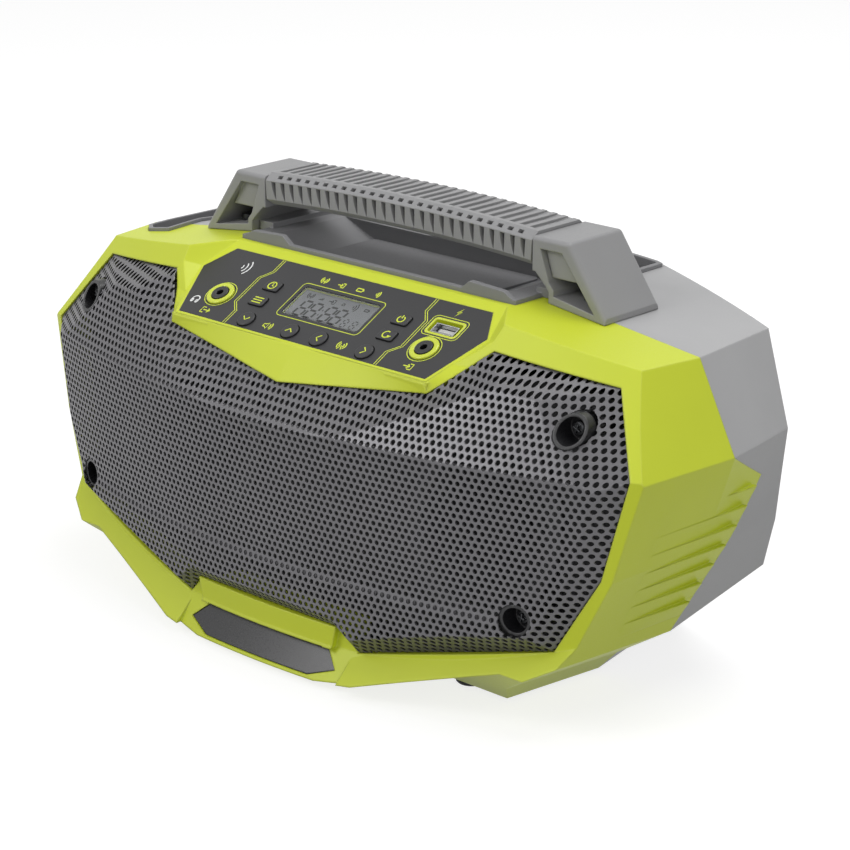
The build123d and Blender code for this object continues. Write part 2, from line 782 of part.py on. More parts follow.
with BuildPart() as tray_hole:
    with BuildSketch(Plane.XY.offset(TRAY_BASE - SEAT)):
        with Locations((0, (TRAY_FRONT + TRAY_LAST) / 2)):
            Rectangle(2 * (TRAY_HALF + SEAT), TRAY_LAST - TRAY_FRONT + 2 * SEAT)
    extrude(amount=40)

with BuildPart() as device_tray:
    with BuildSketch(Plane.XY.offset(TRAY_BASE)):
        with Locations((0, (TRAY_FRONT + TRAY_LAST) / 2)):
            Rectangle(2 * TRAY_HALF, TRAY_LAST - TRAY_FRONT)
    extrude(amount=TRAY_LIP - TRAY_BASE)
    for side in (-1, 1):
        with BuildSketch(Plane.XZ.offset(-TRAY_FRONT)):
            with BuildLine():
                Polyline(
                    (side * (TRAY_TAB_IN - 6), TRAY_LIP - 3),
                    (side * (TRAY_TAB_IN - 2), TRAY_LIP),
                    (side * (TRAY_TAB_IN + 3), TRAY_TAB_HEIGHT),
                    (side * (TRAY_TAB_OUT - 3), TRAY_TAB_HEIGHT - 1),
                    (side * TRAY_HALF, TRAY_LIP - 1),
                    (side * TRAY_HALF, TRAY_LIP - 3),
                    close=True,
                )
            make_face()
        extrude(amount=-3.0)
        with BuildSketch(Plane.XY.offset(DECK_HEIGHT + SEAT)):
            with Locations((side * (RAIL_INNER + RAIL_OUTER) / 2, (RAIL_FRONT + TRAY_LAST) / 2)):
                Rectangle(RAIL_OUTER - RAIL_INNER, TRAY_LAST - RAIL_FRONT)
        extrude(amount=RAIL_TOP - DECK_HEIGHT - SEAT)
    with BuildSketch(Plane.XY.offset(TRAY_LIP)):
        with Locations(((HUMP_LEFT + TRAY_HALF) / 2, (TRAY_REAR + TRAY_LAST) / 2)):
            Rectangle(TRAY_HALF - HUMP_LEFT, TRAY_LAST - TRAY_REAR)
    extrude(amount=HUMP_TOP - TRAY_LIP)
    with BuildSketch(Plane.XY.offset(TRAY_FLOOR)):
        with BuildLine():
            Polyline(
                (-TRAY_FLOOR_HALF, TRAY_FRONT + 3.0),
                (TRAY_FLOOR_HALF, TRAY_FRONT + 3.0),
                (TRAY_FLOOR_HALF, TRAY_REAR - 1.5),
                (-TRAY_FLOOR_HALF, TRAY_REAR - 1.5),
                close=True,
            )
        make_face()
    with BuildSketch(Plane.XY.offset(HUMP_TOP + 4)):
        with BuildLine():
            Polyline(
                (-RAIL_INNER - 14, TRAY_FRONT + 3.0),
                (RAIL_INNER + 14, TRAY_FRONT + 3.0),
                (RAIL_INNER + 14, TRAY_REAR + 0.5),
                (-RAIL_INNER - 14, TRAY_REAR + 0.5),
                close=True,
            )
        make_face()
    loft(ruled=True, mode=Mode.SUBTRACT)
export(device_tray.part, "device_tray")

# Mat lying in the tray.
MAT_THICK = 1.0
with BuildPart() as tray_mat:
    with BuildSketch(Plane.XY.offset(TRAY_FLOOR)):
        with Locations((0, (TRAY_FRONT + TRAY_REAR) / 2 + 0.75)):
            RectangleRounded(2 * TRAY_FLOOR_HALF - 3, TRAY_REAR - TRAY_FRONT - 7, 3)
    extrude(amount=MAT_THICK)
export(tray_mat.part, "tray_mat")

# Joining blocks with screws, near the widest edges and low corners.
SCREW_SPOTS = [(119.0, 13.0), (48.0, 15.7)]     # height, and distance in from the side
SCREW_POINTS = [(cheek_x(SEAM_Y, z) - inset, z) for z, inset in SCREW_SPOTS]
SCREW_BLOCK = 16.0
SCREW_BLOCK_FRONT = 20.0   # length in the front frame, ahead of the seam
SCREW_SHANK = 1.6
SCREW_HEAD = 3.2
SCREW_HEAD_DEPTH = 2.4
SCREW_SINK = 9.0

with BuildPart() as screw_blocks:
    with BuildSketch(Plane.XZ.offset(SCREW_BLOCK_FRONT - SEAM_Y)):
        for side in (-1, 1):
            for x, z in SCREW_POINTS:
                with Locations((side * x, z)):
                    Rectangle(SCREW_BLOCK + 8, SCREW_BLOCK)
    extrude(amount=-SCREW_BLOCK_FRONT - 100)
    add(outer_body, mode=Mode.INTERSECT)


def screw_rear(x):
    """Depth of the rear face at this distance from the centre line."""
    return BACK_Y - BACK_RADIUS + (BACK_RADIUS**2 - x**2) ** 0.5


def screw_set(grow, extra):
    """The four long case screws as solids, grown for their holes."""
    with BuildPart() as screws:
        for side in (-1, 1):
            for x, z in SCREW_POINTS:
                head = screw_rear(x) - SCREW_SINK
                with BuildSketch(Plane.XZ.offset(-head)):
                    with Locations((side * x, z)):
                        Circle(SCREW_HEAD + grow)
                extrude(amount=SCREW_HEAD_DEPTH + grow)
                if extra:
                    with BuildSketch(Plane.XZ.offset(-head)):
                        with Locations((side * x, z)):
                            Circle(SCREW_HEAD + grow)
                    extrude(amount=-extra)
                with BuildSketch(Plane.XZ.offset(-head)):
                    with Locations((side * x, z)):
                        Circle(SCREW_SHANK + grow)
                extrude(amount=head - SEAM_Y + SCREW_BLOCK_FRONT - 4)
    return screws.part


with BuildPart() as front_frame:
    add(outer_body)
    add(skids.part)
    add(seam_prism.part, mode=Mode.INTERSECT)
    add(inner_body, mode=Mode.SUBTRACT)

with BuildPart() as panel_walls:
    add(panel_funnel(WALL, PANEL_THICK + SEAT_THICK))
    add(outer_body, mode=Mode.INTERSECT)
    add(seam_prism.part, mode=Mode.INTERSECT)

# The grille goes in from behind, past the chin and the panel walls.
GRILLE_FLANGE = 2.6        # flange width behind the rim
GRILLE_WAY_REAR = -14.0
with BuildPart() as grille_way:
    add(opening_prism(-GRILLE_FLANGE - SEAT, far=GRILLE_WAY_REAR))
    add(face_barrel(RIM_DEPTH), mode=Mode.INTERSECT)
    add(body_loft(WALL), mode=Mode.INTERSECT)

with BuildPart() as frame_blocks:
    add(screw_blocks.part)
    add(seam_prism.part, mode=Mode.INTERSECT)

with front_frame:
    add(panel_walls.part)
    add(chin.part)
    add(bezel_cheeks.part)
    add(panel_block(0, -PANEL_THICK - SEAT_THICK, PANEL_MARGIN - 0.6))
    add(frame_blocks.part)
    add(panel_funnel(0, 0), mode=Mode.SUBTRACT)
    add(opening_prism(0), mode=Mode.SUBTRACT)
    add(ledge.part)
    add(grille_way.part, mode=Mode.SUBTRACT)
    for index in range(RIB_COUNT):
        for side in (-1, 1):
            add(rib(index, side))
    add(panel_block(PANEL_THICK, -PANEL_THICK, SEAT / 2), mode=Mode.SUBTRACT)
    add(panel_cut(JACK_BODY_RADIUS + SEAT), mode=Mode.SUBTRACT)
    add(works_box(WORKS_FRONT, -FLANGE_ROOM, SEAT_LOW), mode=Mode.SUBTRACT)
    add(
        works_box(WORKS_BOARD_FRONT, -BOARD_DEPTH - BOARD_THICK - 3 * SEAT, -FLANGE_ROOM),
        mode=Mode.SUBTRACT,
    )
    add(badge_cut.part, mode=Mode.SUBTRACT)
    add(tray_hole.part, mode=Mode.SUBTRACT)
    add(trough_hole.part, mode=Mode.SUBTRACT)
    add(screw_set(SEAT, 0), mode=Mode.SUBTRACT)
export(front_frame.part, "front_frame")

# Deck slope outside the flat middle, and the screws that hold the handle on it.
DECK_FALL = (DECK_HEIGHT - SHOULDER_HEIGHT) / (SHOULDER_HALF - DECK_HALF)
HANDLE_FOOT = 3.4          # thickness of the foot plate
HANDLE_GAP = 0.2           # foot plate above the deck
HANDLE_SCREW_X = 108.0
HANDLE_SCREW_Y = (12.0, 26.0)
HANDLE_SCREW_SHANK = 1.9
HANDLE_SCREW_HEAD = 3.4
HANDLE_SCREW_TALL = 2.2
HANDLE_SCREW_LENGTH = 12.0


def deck_z(x):
    """Height of the deck at this distance from the centre line, at the seam."""
    return DECK_HEIGHT - max(0.0, x - DECK_HALF) * DECK_FALL


HANDLE_SCREW_SEAT = deck_z(HANDLE_SCREW_X - HANDLE_SCREW_HEAD) + HANDLE_GAP + HANDLE_FOOT


def handle_screw_rounds(radius, low, high):
    """Four upright rounds at the handle screws, between two heights."""
    with BuildPart() as rounds:
        with BuildSketch(Plane.XY.offset(low)):
            for side in (-1, 1):
                with Locations(*[(side * HANDLE_SCREW_X, y) for y in HANDLE_SCREW_Y]):
                    Circle(radius)
        extrude(amount=high - low)
    return rounds.part


HANDLE_SCREW_HOLES = handle_screw_rounds(
    HANDLE_SCREW_SHANK + SEAT,
    HANDLE_SCREW_SEAT - HANDLE_SCREW_LENGTH - 1,
    HANDLE_SCREW_SEAT + HANDLE_SCREW_TALL,
)

# ---------------------------------------------------------------- rear housing
BAY_WALL = 3.0
INLET_X = -96.0
INLET_Z = 42.0
INLET_WIDTH = 24.0
INLET_HEIGHT = 17.0
INLET_DEPTH = 16.0
BAY_FLOOR_Y = BACK_Y - BAY_DEPTH
RAIL_LIP = 4.0             # battery rails stand in from the bay's side walls
RAIL_LIP_THICK = 3.0

with BuildPart() as rear_blocks:
    add(screw_blocks.part)
    add(seam_prism.part, mode=Mode.SUBTRACT)

with BuildPart() as battery_walls:
    with BuildSketch(Plane.XZ.offset(-(BAY_FLOOR_Y - BAY_WALL))):
        with Locations((0, (BAY_LOW + BAY_HIGH) / 2)):
            Rectangle(2 * (BAY_HALF + BAY_WALL), BAY_HIGH - BAY_LOW + 2 * BAY_WALL)
    extrude(amount=-BAY_DEPTH - BAY_WALL - 10)
    add(outer_body, mode=Mode.INTERSECT)

with BuildPart() as rear_housing:
    add(outer_body)
    add(skids.part)
    add(seam_prism.part, mode=Mode.SUBTRACT)
    add(inner_body, mode=Mode.SUBTRACT)
    add(rear_blocks.part)
    add(battery_walls.part)
    with BuildSketch(Plane.XZ.offset(-BAY_FLOOR_Y)):
        with Locations((0, (BAY_LOW + BAY_HIGH) / 2)):
            Rectangle(2 * BAY_HALF, BAY_HIGH - BAY_LOW)
    extrude(amount=-BAY_DEPTH - 20, mode=Mode.SUBTRACT)
    with BuildSketch(Plane.XZ.offset(-BAY_FLOOR_Y)):
        for side in (-1, 1):
            with Locations((side * (BAY_HALF - RAIL_LIP / 2), BAY_HIGH - 22)):
                Rectangle(RAIL_LIP, RAIL_LIP_THICK)
    extrude(amount=-BAY_DEPTH + 8)
    with BuildSketch(Plane.XZ.offset(-SEAM_Y)):
        with Locations((INLET_X, INLET_Z)):
            Rectangle(INLET_WIDTH + 2 * SEAT, INLET_HEIGHT + 2 * SEAT)
    extrude(amount=-BACK_Y, mode=Mode.SUBTRACT)
    add(tray_hole.part, mode=Mode.SUBTRACT)
    add(trough_hole.part, mode=Mode.SUBTRACT)
    add(screw_set(SEAT, 60), mode=Mode.SUBTRACT)
    add(HANDLE_SCREW_HOLES, mode=Mode.SUBTRACT)
export(rear_housing.part, "rear_housing")

with BuildPart() as case_screws:
    add(screw_set(0, 0))
export(case_screws.part, "case_screws")

# Power inlet: a two-pin socket let into the rear wall.
PIN_HALF = 4.0             # pins either side of the middle
PIN_ROOM = 3.6             # radius of the room round each pin
PIN_RADIUS = 1.1
PIN_TAIL = 3.0             # pins stand out of the socket's back by this
INLET_WALL = 4.0
INLET_Y = screw_rear(abs(INLET_X) - INLET_WIDTH / 2)
with BuildPart() as power_inlet:
    with BuildSketch(Plane.XZ.offset(-(INLET_Y - INLET_DEPTH))):
        with Locations((INLET_X, INLET_Z)):
            Rectangle(INLET_WIDTH, INLET_HEIGHT)
    extrude(amount=-INLET_DEPTH)
    add(back_barrel(0.4), mode=Mode.INTERSECT)
    with BuildSketch(Plane.XZ.offset(-(INLET_Y - INLET_DEPTH + INLET_WALL))):
        with Locations((INLET_X - PIN_HALF, INLET_Z), (INLET_X + PIN_HALF, INLET_Z)):
            Circle(PIN_ROOM)
        with Locations((INLET_X, INLET_Z)):
            Rectangle(2 * PIN_HALF, 2 * PIN_ROOM - 0.8)
    extrude(amount=-INLET_DEPTH, mode=Mode.SUBTRACT)

with BuildPart() as inlet_pins:
    with BuildSketch(Plane.XZ.offset(-(INLET_Y - INLET_DEPTH - PIN_TAIL))):
        with Locations((INLET_X - PIN_HALF, INLET_Z), (INLET_X + PIN_HALF, INLET_Z)):
            Circle(PIN_RADIUS)
    extrude(amount=-INLET_DEPTH + 2)
with power_inlet:
    with BuildSketch(Plane.XZ.offset(-(INLET_Y - INLET_DEPTH - PIN_TAIL))):
        with Locations((INLET_X - PIN_HALF, INLET_Z), (INLET_X + PIN_HALF, INLET_Z)):
            Circle(PIN_RADIUS)
    extrude(amount=-8, mode=Mode.SUBTRACT)
export(power_inlet.part, "power_inlet")
export(inlet_pins.part, "inlet_pins")

# Battery terminals on the bay's end wall.
TERMINAL_WIDTH = 30.0
TERMINAL_HEIGHT = 12.0
TERMINAL_DEPTH = 14.0
TERMINAL_Z = BAY_HIGH - 36.0
BLADE_POINTS = [(x, TERMINAL_Z) for x in (-10.0, 0.0, 10.0)]
BLADE_THICK = 0.8
BLADE_SLOT = 1.2
BLADE_ROOT = 2.0
with BuildPart() as terminal_block:
    with BuildSketch(Plane.XZ.offset(-BAY_FLOOR_Y)):
        with Locations((0, TERMINAL_Z)):
            Rectangle(TERMINAL_WIDTH, TERMINAL_HEIGHT)
    extrude(amount=-TERMINAL_DEPTH)
    with BuildSketch(Plane.XZ.offset(-(BAY_FLOOR_Y + BLADE_ROOT))):
        with Locations(*BLADE_POINTS):
            Rectangle(BLADE_SLOT, TERMINAL_HEIGHT - 3)
    extrude(amount=-TERMINAL_DEPTH, mode=Mode.SUBTRACT)
export(terminal_block.part, "terminal_block")
with BuildPart() as terminal_blades:
    with BuildSketch(Plane.XZ.offset(-(BAY_FLOOR_Y + BLADE_ROOT))):
        with Locations(*BLADE_POINTS):
            Rectangle(BLADE_THICK, TERMINAL_HEIGHT - 3)
    extrude(amount=-TERMINAL_DEPTH + 3)
export(terminal_blades.part, "terminal_blades")

# --------------------------------------------------------------- speaker grille
# The grille is a pillow that stands out of the opening: upright in the middle,
# leaning back above a crease, and closed all round by bevels down to the rim.
GRILLE_THICK = 1.2
GRILLE_RIM = SEAT          # gap between rim and flange
PILLOW_Y = -90.6           # foremost part, a low band along the foot
PILLOW_RADIUS = 500.0      # sweep from side to side
PILLOW_CREASE = 118.0      # the pillow leans back above this height
PILLOW_LEAN = 0.62         # run over rise of the leaning part
PILLOW_STEP = 1.6          # the middle stands back from the low band by this
PILLOW_STEP_FOOT = 49.0    # height at which that step starts
PILLOW_STEP_LEAN = 0.3
BEVEL_DEPTH = 1.0          # bevels meet the opening this far behind the face
CHIN_PROUD = 1.8           # the chin's outer corners stand this far ahead
LEDGE_TOP_PROUD = 2.0
TOP_BEVEL = 2.1            # bevels: forward run over inward run
SIDE_BEVEL = 1.05
FOOT_BEVEL = 1.1
CHIN_BEVEL = 1.05
CHEEK_BEVEL = 1.1
LEDGE_BEVEL = 1.0
WELL_TOP = (151.3, 136.6)
WELL_LOW = (136.4, 53.5)
WELL_RADIUS = 7.0
WELL_WALL = 1.4
WELL_SINK = 0.6            # lip of each well behind the grille's face
WELL_FLOOR = 8.0           # floor of each well behind the middle of its mouth
WELL_POST = 5.0            # radius of the post behind the floor
WELL_REACH = 60.0          # posts are cut off at the baffle within this
SCREW_TALL = 2.4
WELLS = [
    (side * x, z, lean)
    for (x, z), lean in ((WELL_TOP, PILLOW_LEAN), (WELL_LOW, 0.0))
    for side in (-1, 1)
]


def pillow_drum(height, lean, depth):
    """Everything behind the pillow's sweep, leaning back about this height."""
    return drum(PILLOW_Y, PILLOW_RADIUS, height, lean, depth)


def notch(edges, shift):
    """Room beside a block that stands into the opening: outside any of its edges."""
    with BuildPart() as room:
        for start, end, pitch in edges:
            add(bevel(start, end, pitch, shift))
    return room.part


edge_top = face_point(OPEN_TOP_HALF, OPEN_TOP_HEIGHT, BEVEL_DEPTH)
edge_inner_top = face_point(BEZEL_HALF, BEZEL_HEIGHT, BEVEL_DEPTH)
edge_waist = face_point(OPEN_WAIST_HALF, OPEN_WAIST_HEIGHT, BEVEL_DEPTH)
edge_thigh = face_point(OPEN_THIGH_HALF, OPEN_THIGH_HEIGHT, BEVEL_DEPTH)
edge_low = face_point(OPEN_LOW_HALF, OPEN_LOW_HEIGHT, BEVEL_DEPTH)
edge_sill = face_point(SILL_HALF, SILL_HEIGHT, BEVEL_DEPTH)
edge_ledge = face_point(LEDGE_HALF, LEDGE_HEIGHT, -LEDGE_TOP_PROUD)
edge_chin = face_point(CHIN_HALF, CHIN_HEIGHT, -CHIN_PROUD)
edge_chin_middle = face_point(0, CHIN_HEIGHT - CHIN_DROP, BEVEL_DEPTH)
RIM_EDGES = [
    (edge_waist, edge_top, SIDE_BEVEL),
    (edge_thigh, edge_waist, SIDE_BEVEL),
    (edge_low, edge_thigh, SIDE_BEVEL),
    (edge_sill, edge_low, FOOT_BEVEL),
    (edge_top, edge_inner_top, TOP_BEVEL),
]
CHIN_EDGES = [
    (edge_inner_top, edge_chin, CHEEK_BEVEL),
    (edge_chin, edge_chin_middle, CHIN_BEVEL),
]
LEDGE_EDGES = [(edge_ledge, edge_sill, LEDGE_BEVEL)]


def grille_form(shift):
    """Pressed shape of the grille, moved in by shift, as a filled solid."""
    with BuildPart() as upright:
        add(pillow_drum(PILLOW_STEP_FOOT, PILLOW_STEP_LEAN, shift))
        add(pillow_drum(PILLOW_STEP_FOOT, 0, shift + PILLOW_STEP))
    with BuildPart() as pillow:
        add(opening_prism(SEAT + shift, far=20.0))
        add(pillow_drum(PILLOW_STEP_FOOT, 0, shift), mode=Mode.INTERSECT)
        add(upright.part, mode=Mode.INTERSECT)
        add(
            pillow_drum(PILLOW_CREASE, PILLOW_LEAN, shift + PILLOW_STEP),
            mode=Mode.INTERSECT,
        )
        for edges in (RIM_EDGES, mirror_edges(RIM_EDGES)):
            for start, end, pitch in edges:
                add(bevel(start, end, pitch, shift), mode=Mode.INTERSECT)
        add(notch(CHIN_EDGES + mirror_edges(CHIN_EDGES), shift), mode=Mode.INTERSECT)
        across = [(Vector(-edge_ledge.X, edge_ledge.Y, edge_ledge.Z), edge_ledge, LEDGE_BEVEL)]
        add(
            notch(LEDGE_EDGES + across + mirror_edges(LEDGE_EDGES), shift),
            mode=Mode.INTERSECT,
        )
    with BuildPart() as pressing:
        add(opening_prism(-GRILLE_FLANGE, far=20.0))
        add(face_barrel(RIM_DEPTH + GRILLE_RIM + shift), mode=Mode.INTERSECT)
        add(pillow.part)
    return pressing.part


def well_round(x, z, lean, radius, near, far):
    """Round along Y at one well, from near to far behind the middle of its mouth."""
    sweep = (PILLOW_RADIUS**2 - x**2) ** 0.5
    mouth = PILLOW_Y + PILLOW_STEP + PILLOW_RADIUS - sweep + lean * (z - PILLOW_CREASE)
    lip = Plane((x, mouth + WELL_SINK, z), x_dir=(0, lean, 1), z_dir=(x / sweep, -1, lean))
    with BuildPart() as piece:
        with BuildSketch(Plane.XZ.offset(-(mouth + near))):
            with Locations((x, z)):
                Circle(radius)
        extrude(amount=near - far)
        with BuildSketch(lip):
            Rectangle(WELL_REACH, WELL_REACH)
        extrude(amount=-2 * WELL_REACH, mode=Mode.INTERSECT)
    return piece.part


with BuildPart() as speaker_grille:
    add(grille_form(0))
    add(grille_form(GRILLE_THICK), mode=Mode.SUBTRACT)
    add(face_barrel(RIM_DEPTH + GRILLE_RIM + GRILLE_THICK + 0.01), mode=Mode.SUBTRACT)
    add(body_loft(WALL + SEAT), mode=Mode.INTERSECT)
    with BuildSketch(Plane.XZ):
        with Locations(*[(x, z) for x, z, _ in WELLS]):
            Circle(WELL_RADIUS + SEAT)
    extrude(amount=FRONT_REACH, mode=Mode.SUBTRACT)
export(speaker_grille.part, "speaker_grille")

# ---------------------------------------------------------- baffle and speakers
BAFFLE_TOP = 142.0
BAFFLE_PLANE = Plane(
    origin=(0, BAFFLE_Y, BAFFLE_HEIGHT),
    x_dir=(1, 0, 0),
    z_dir=(0, -cos(BAFFLE_TILT), sin(BAFFLE_TILT)),
)
DRIVER_UP = (DRIVER_Z - BAFFLE_HEIGHT) / cos(BAFFLE_TILT)
FLANGE_THICK = 2.5

with BuildPart() as speaker_baffle:
    add(envelope(WALL + SEAT, RIM_DEPTH + SEAT, WALL + SEAT))
    with BuildSketch(BAFFLE_PLANE.offset(-BAFFLE_SETBACK - BAFFLE_THICK)):
        Rectangle(500, 600)
    extrude(amount=BAFFLE_THICK, mode=Mode.INTERSECT)
    with BuildSketch(Plane.XY.offset(BAFFLE_TOP)):
        Rectangle(500, 300)
    extrude(amount=60, mode=Mode.SUBTRACT)
    with BuildSketch(BAFFLE_PLANE.offset(-BAFFLE_SETBACK - BAFFLE_THICK - 1)):
        with Locations((-DRIVER_X, DRIVER_UP), (DRIVER_X, DRIVER_UP)):
            Circle(CONE_RADIUS + 2.5)
    extrude(amount=BAFFLE_THICK + 2, mode=Mode.SUBTRACT)
    add(screw_set(SEAT + 1, 0), mode=Mode.SUBTRACT)
    add(frame_blocks.part, mode=Mode.SUBTRACT)
export(speaker_baffle.part, "speaker_baffle")

with BuildPart() as well_ends:
    with BuildSketch(BAFFLE_PLANE.offset(-BAFFLE_SETBACK)):
        Rectangle(DRUM_REACH, DRUM_REACH)
    extrude(amount=DRUM_REACH)

with BuildPart() as grille_wells:
    for x, z, lean in WELLS:
        add(well_round(x, z, lean, WELL_RADIUS, -WELL_FLOOR, WELL_FLOOR + WELL_WALL))
        add(well_round(x, z, lean, WELL_POST, WELL_FLOOR, WELL_REACH))
    add(well_ends.part, mode=Mode.INTERSECT)
    for x, z, lean in WELLS:
        add(
            well_round(x, z, lean, WELL_RADIUS - WELL_WALL, -WELL_FLOOR, WELL_FLOOR),
            mode=Mode.SUBTRACT,
        )
export(grille_wells.part, "grille_wells")

with BuildPart() as grille_screws:
    for x, z, lean in WELLS:
        add(well_round(x, z, lean, SCREW_HEAD, WELL_FLOOR - SCREW_TALL, WELL_FLOOR))
export(grille_screws.part, "grille_screws")


def driver(side):
    """Basket, cone, cap and magnet of one loudspeaker, front flange on the baffle."""
    seat = BAFFLE_PLANE.offset(-BAFFLE_SETBACK)
    base = Plane(
        seat.from_local_coords(Vector(side * DRIVER_X, DRIVER_UP, 0)),
        x_dir=(1, 0, 0),
        z_dir=BAFFLE_PLANE.z_dir,
    )
    section = Plane(base.origin, x_dir=(1, 0, 0), z_dir=base.y_dir * -1)
    axis = Axis(base.origin, base.z_dir)
    neck = MAGNET_RADIUS * 0.5
    with BuildPart() as basket:
        with BuildSketch(section):
            with BuildLine():
                Polyline(
                    (CONE_RADIUS - 1.0, FLANGE_THICK),
                    (DRIVER_RADIUS, FLANGE_THICK),
                    (DRIVER_RADIUS, 0),
                    (CONE_RADIUS + 1.5, 0),
                    (MAGNET_RADIUS - 2, -DRIVER_DEPTH + 4),
                    (MAGNET_RADIUS - 2, -DRIVER_DEPTH),
                    (neck, -DRIVER_DEPTH),
                    (neck, -DRIVER_DEPTH + 2),
                    (MAGNET_RADIUS - 4.4, -DRIVER_DEPTH + 2),
                    (CONE_RADIUS - 1.0, -1.0),
                    close=True,
                )
            make_face()
        revolve(axis=axis)
    with BuildPart() as cone:
        with BuildSketch(section):
            with BuildLine():
                Polyline(
                    (CONE_RADIUS - 1.4, FLANGE_THICK),
                    (CONE_RADIUS - 5.0, FLANGE_THICK + 1.2),
                    (CONE_RADIUS - 8.0, FLANGE_THICK - 0.6),
                    (neck, -15.0),
                    (neck, -16.0),
                    (CONE_RADIUS - 8.0, FLANGE_THICK - 1.6),
                    (CONE_RADIUS - 5.0, FLANGE_THICK + 0.2),
                    (CONE_RADIUS - 1.4, FLANGE_THICK - 1.0),
                    close=True,
                )
            make_face()
        revolve(axis=axis)
    with BuildPart() as cap:
        with BuildSketch(section):
            with BuildLine():
                Polyline(
                    (0, -9.5),
                    (neck * 0.55, -10.3),
                    (neck - 0.4, -14.2),
                    (neck - 0.4, -DRIVER_DEPTH + 1.0),
                    (0, -DRIVER_DEPTH + 1.0),
                    close=True,
                )
            make_face()
        revolve(axis=axis)
    with BuildPart() as magnet:
        with BuildSketch(base.offset(-DRIVER_DEPTH - MAGNET_THICK)):
            Circle(MAGNET_RADIUS)
        extrude(amount=MAGNET_THICK)
    return basket.part, cone.part, cap.part, magnet.part


for side, word in ((-1, "left"), (1, "right")):
    basket_part, cone_part, cap_part, magnet_part = driver(side)
    export(basket_part, f"{word}_speaker_basket")
    export(cone_part, f"{word}_speaker_cone")
    export(cap_part, f"{word}_dust_cap")
    export(magnet_part, f"{word}_speaker_magnet")

# -------------------------------------------------------------------- handle
KNEE_SLAB = 5.0            # thickness of the flat top at each knee
POST_BACK = 6.0            # rear wall of the hollow posts
POST_BLOCK_SET = 3.0       # inner block stands back from the post's front edge
CORE_HEIGHT = 7.0
CORE_FRONT = 9.0
CORE_REAR = 29.0
CORE_LOW = 11.6            # underside of the core below the grip's top
CORE_BITE = 1.0            # core runs into the knees by this
CORE_SECTION = [
    (CORE_FRONT, -CORE_LOW),
    (CORE_FRONT, CORE_HEIGHT - CORE_LOW),
    (CORE_REAR, CORE_HEIGHT - CORE_LOW),
    (CORE_REAR, -CORE_LOW),
]

FOOT_LOW = deck_z(FOOT_HALF) + HANDLE_GAP
FOOT_INNER_LOW = deck_z(FOOT_INNER_HALF) + HANDLE_GAP


def post_outline(shrink):
    """Front view of one hollow handle post, or of its hollow."""
    outer = [
        (GRIP_HALF, HANDLE_TOP),
        (KNEE_HALF, HANDLE_TOP),
        (FOOT_HALF, FOOT_LOW + HANDLE_FOOT * 0.8),
        (FOOT_HALF, FOOT_LOW),
        (FOOT_INNER_HALF, FOOT_INNER_LOW),
        (FOOT_INNER_HALF, FOOT_INNER_LOW + 5.0),
        (FOOT_INNER_HALF - 2.6, FOOT_INNER_LOW + 8.0),
        (GRIP_HALF + 1.6, HANDLE_TOP - GRIP_DEPTH),
        (GRIP_HALF, HANDLE_TOP - GRIP_DEPTH),
    ]
    hollow = [
        (GRIP_HALF + 1.6 + POST_WEB, HANDLE_TOP - KNEE_SLAB),
        (KNEE_HALF - POST_SKIN * 0.9, HANDLE_TOP - KNEE_SLAB),
        (FOOT_HALF - POST_SKIN * 1.5, FOOT_LOW + HANDLE_FOOT),
        (FOOT_INNER_HALF + POST_WEB, FOOT_INNER_LOW + HANDLE_FOOT),
        (FOOT_INNER_HALF + POST_WEB, FOOT_INNER_LOW + 6.0),
        (FOOT_INNER_HALF - 2.6 + POST_WEB, FOOT_INNER_LOW + 9.0),
    ]
    return hollow if shrink else outer


def post_section(y, points, side):
    """Sketch of a post outline at depth y, on one side."""
    with BuildSketch(Plane.XZ.offset(-y)) as section:
        with BuildLine():
            Polyline(*[(side * x, z) for x, z in points], close=True)
        make_face()
    return section.sketch


# The grip and the handle's core follow one arch between the knees.
GRIP_RISE = 1.4            # grip ends above the knees
ARCH_RADIUS = GRIP_HALF**2 / (2 * HANDLE_CROWN)
ARCH_CENTRE_Z = HANDLE_TOP + GRIP_RISE + HANDLE_CROWN - ARCH_RADIUS


def arch_plane(angle):
    """Plane at this turn along the arch: x back, y up the radius, origin on the crown."""
    with_turn = Plane(
        origin=(0, 0, ARCH_CENTRE_Z),
        x_dir=(0, 1, 0),
        z_dir=Vector(1, 0, 0).rotate(Axis.Y, angle),
    )
    return Plane(
        with_turn.origin + with_turn.y_dir * ARCH_RADIUS,
        x_dir=(0, 1, 0),
        z_dir=with_turn.z_dir,
    )


def arch_ring(points, half):
    """Section swept along the arch, out to half on each side."""
    angle = degrees(atan(half / ARCH_RADIUS))
    with BuildPart() as ring:
        with BuildSketch(arch_plane(-angle)):
            with BuildLine():
                Polyline(*points, close=True)
            make_face()
        revolve(axis=Axis((0, 0, ARCH_CENTRE_Z), (0, 1, 0)), revolution_arc=2 * angle)
    return ring.part


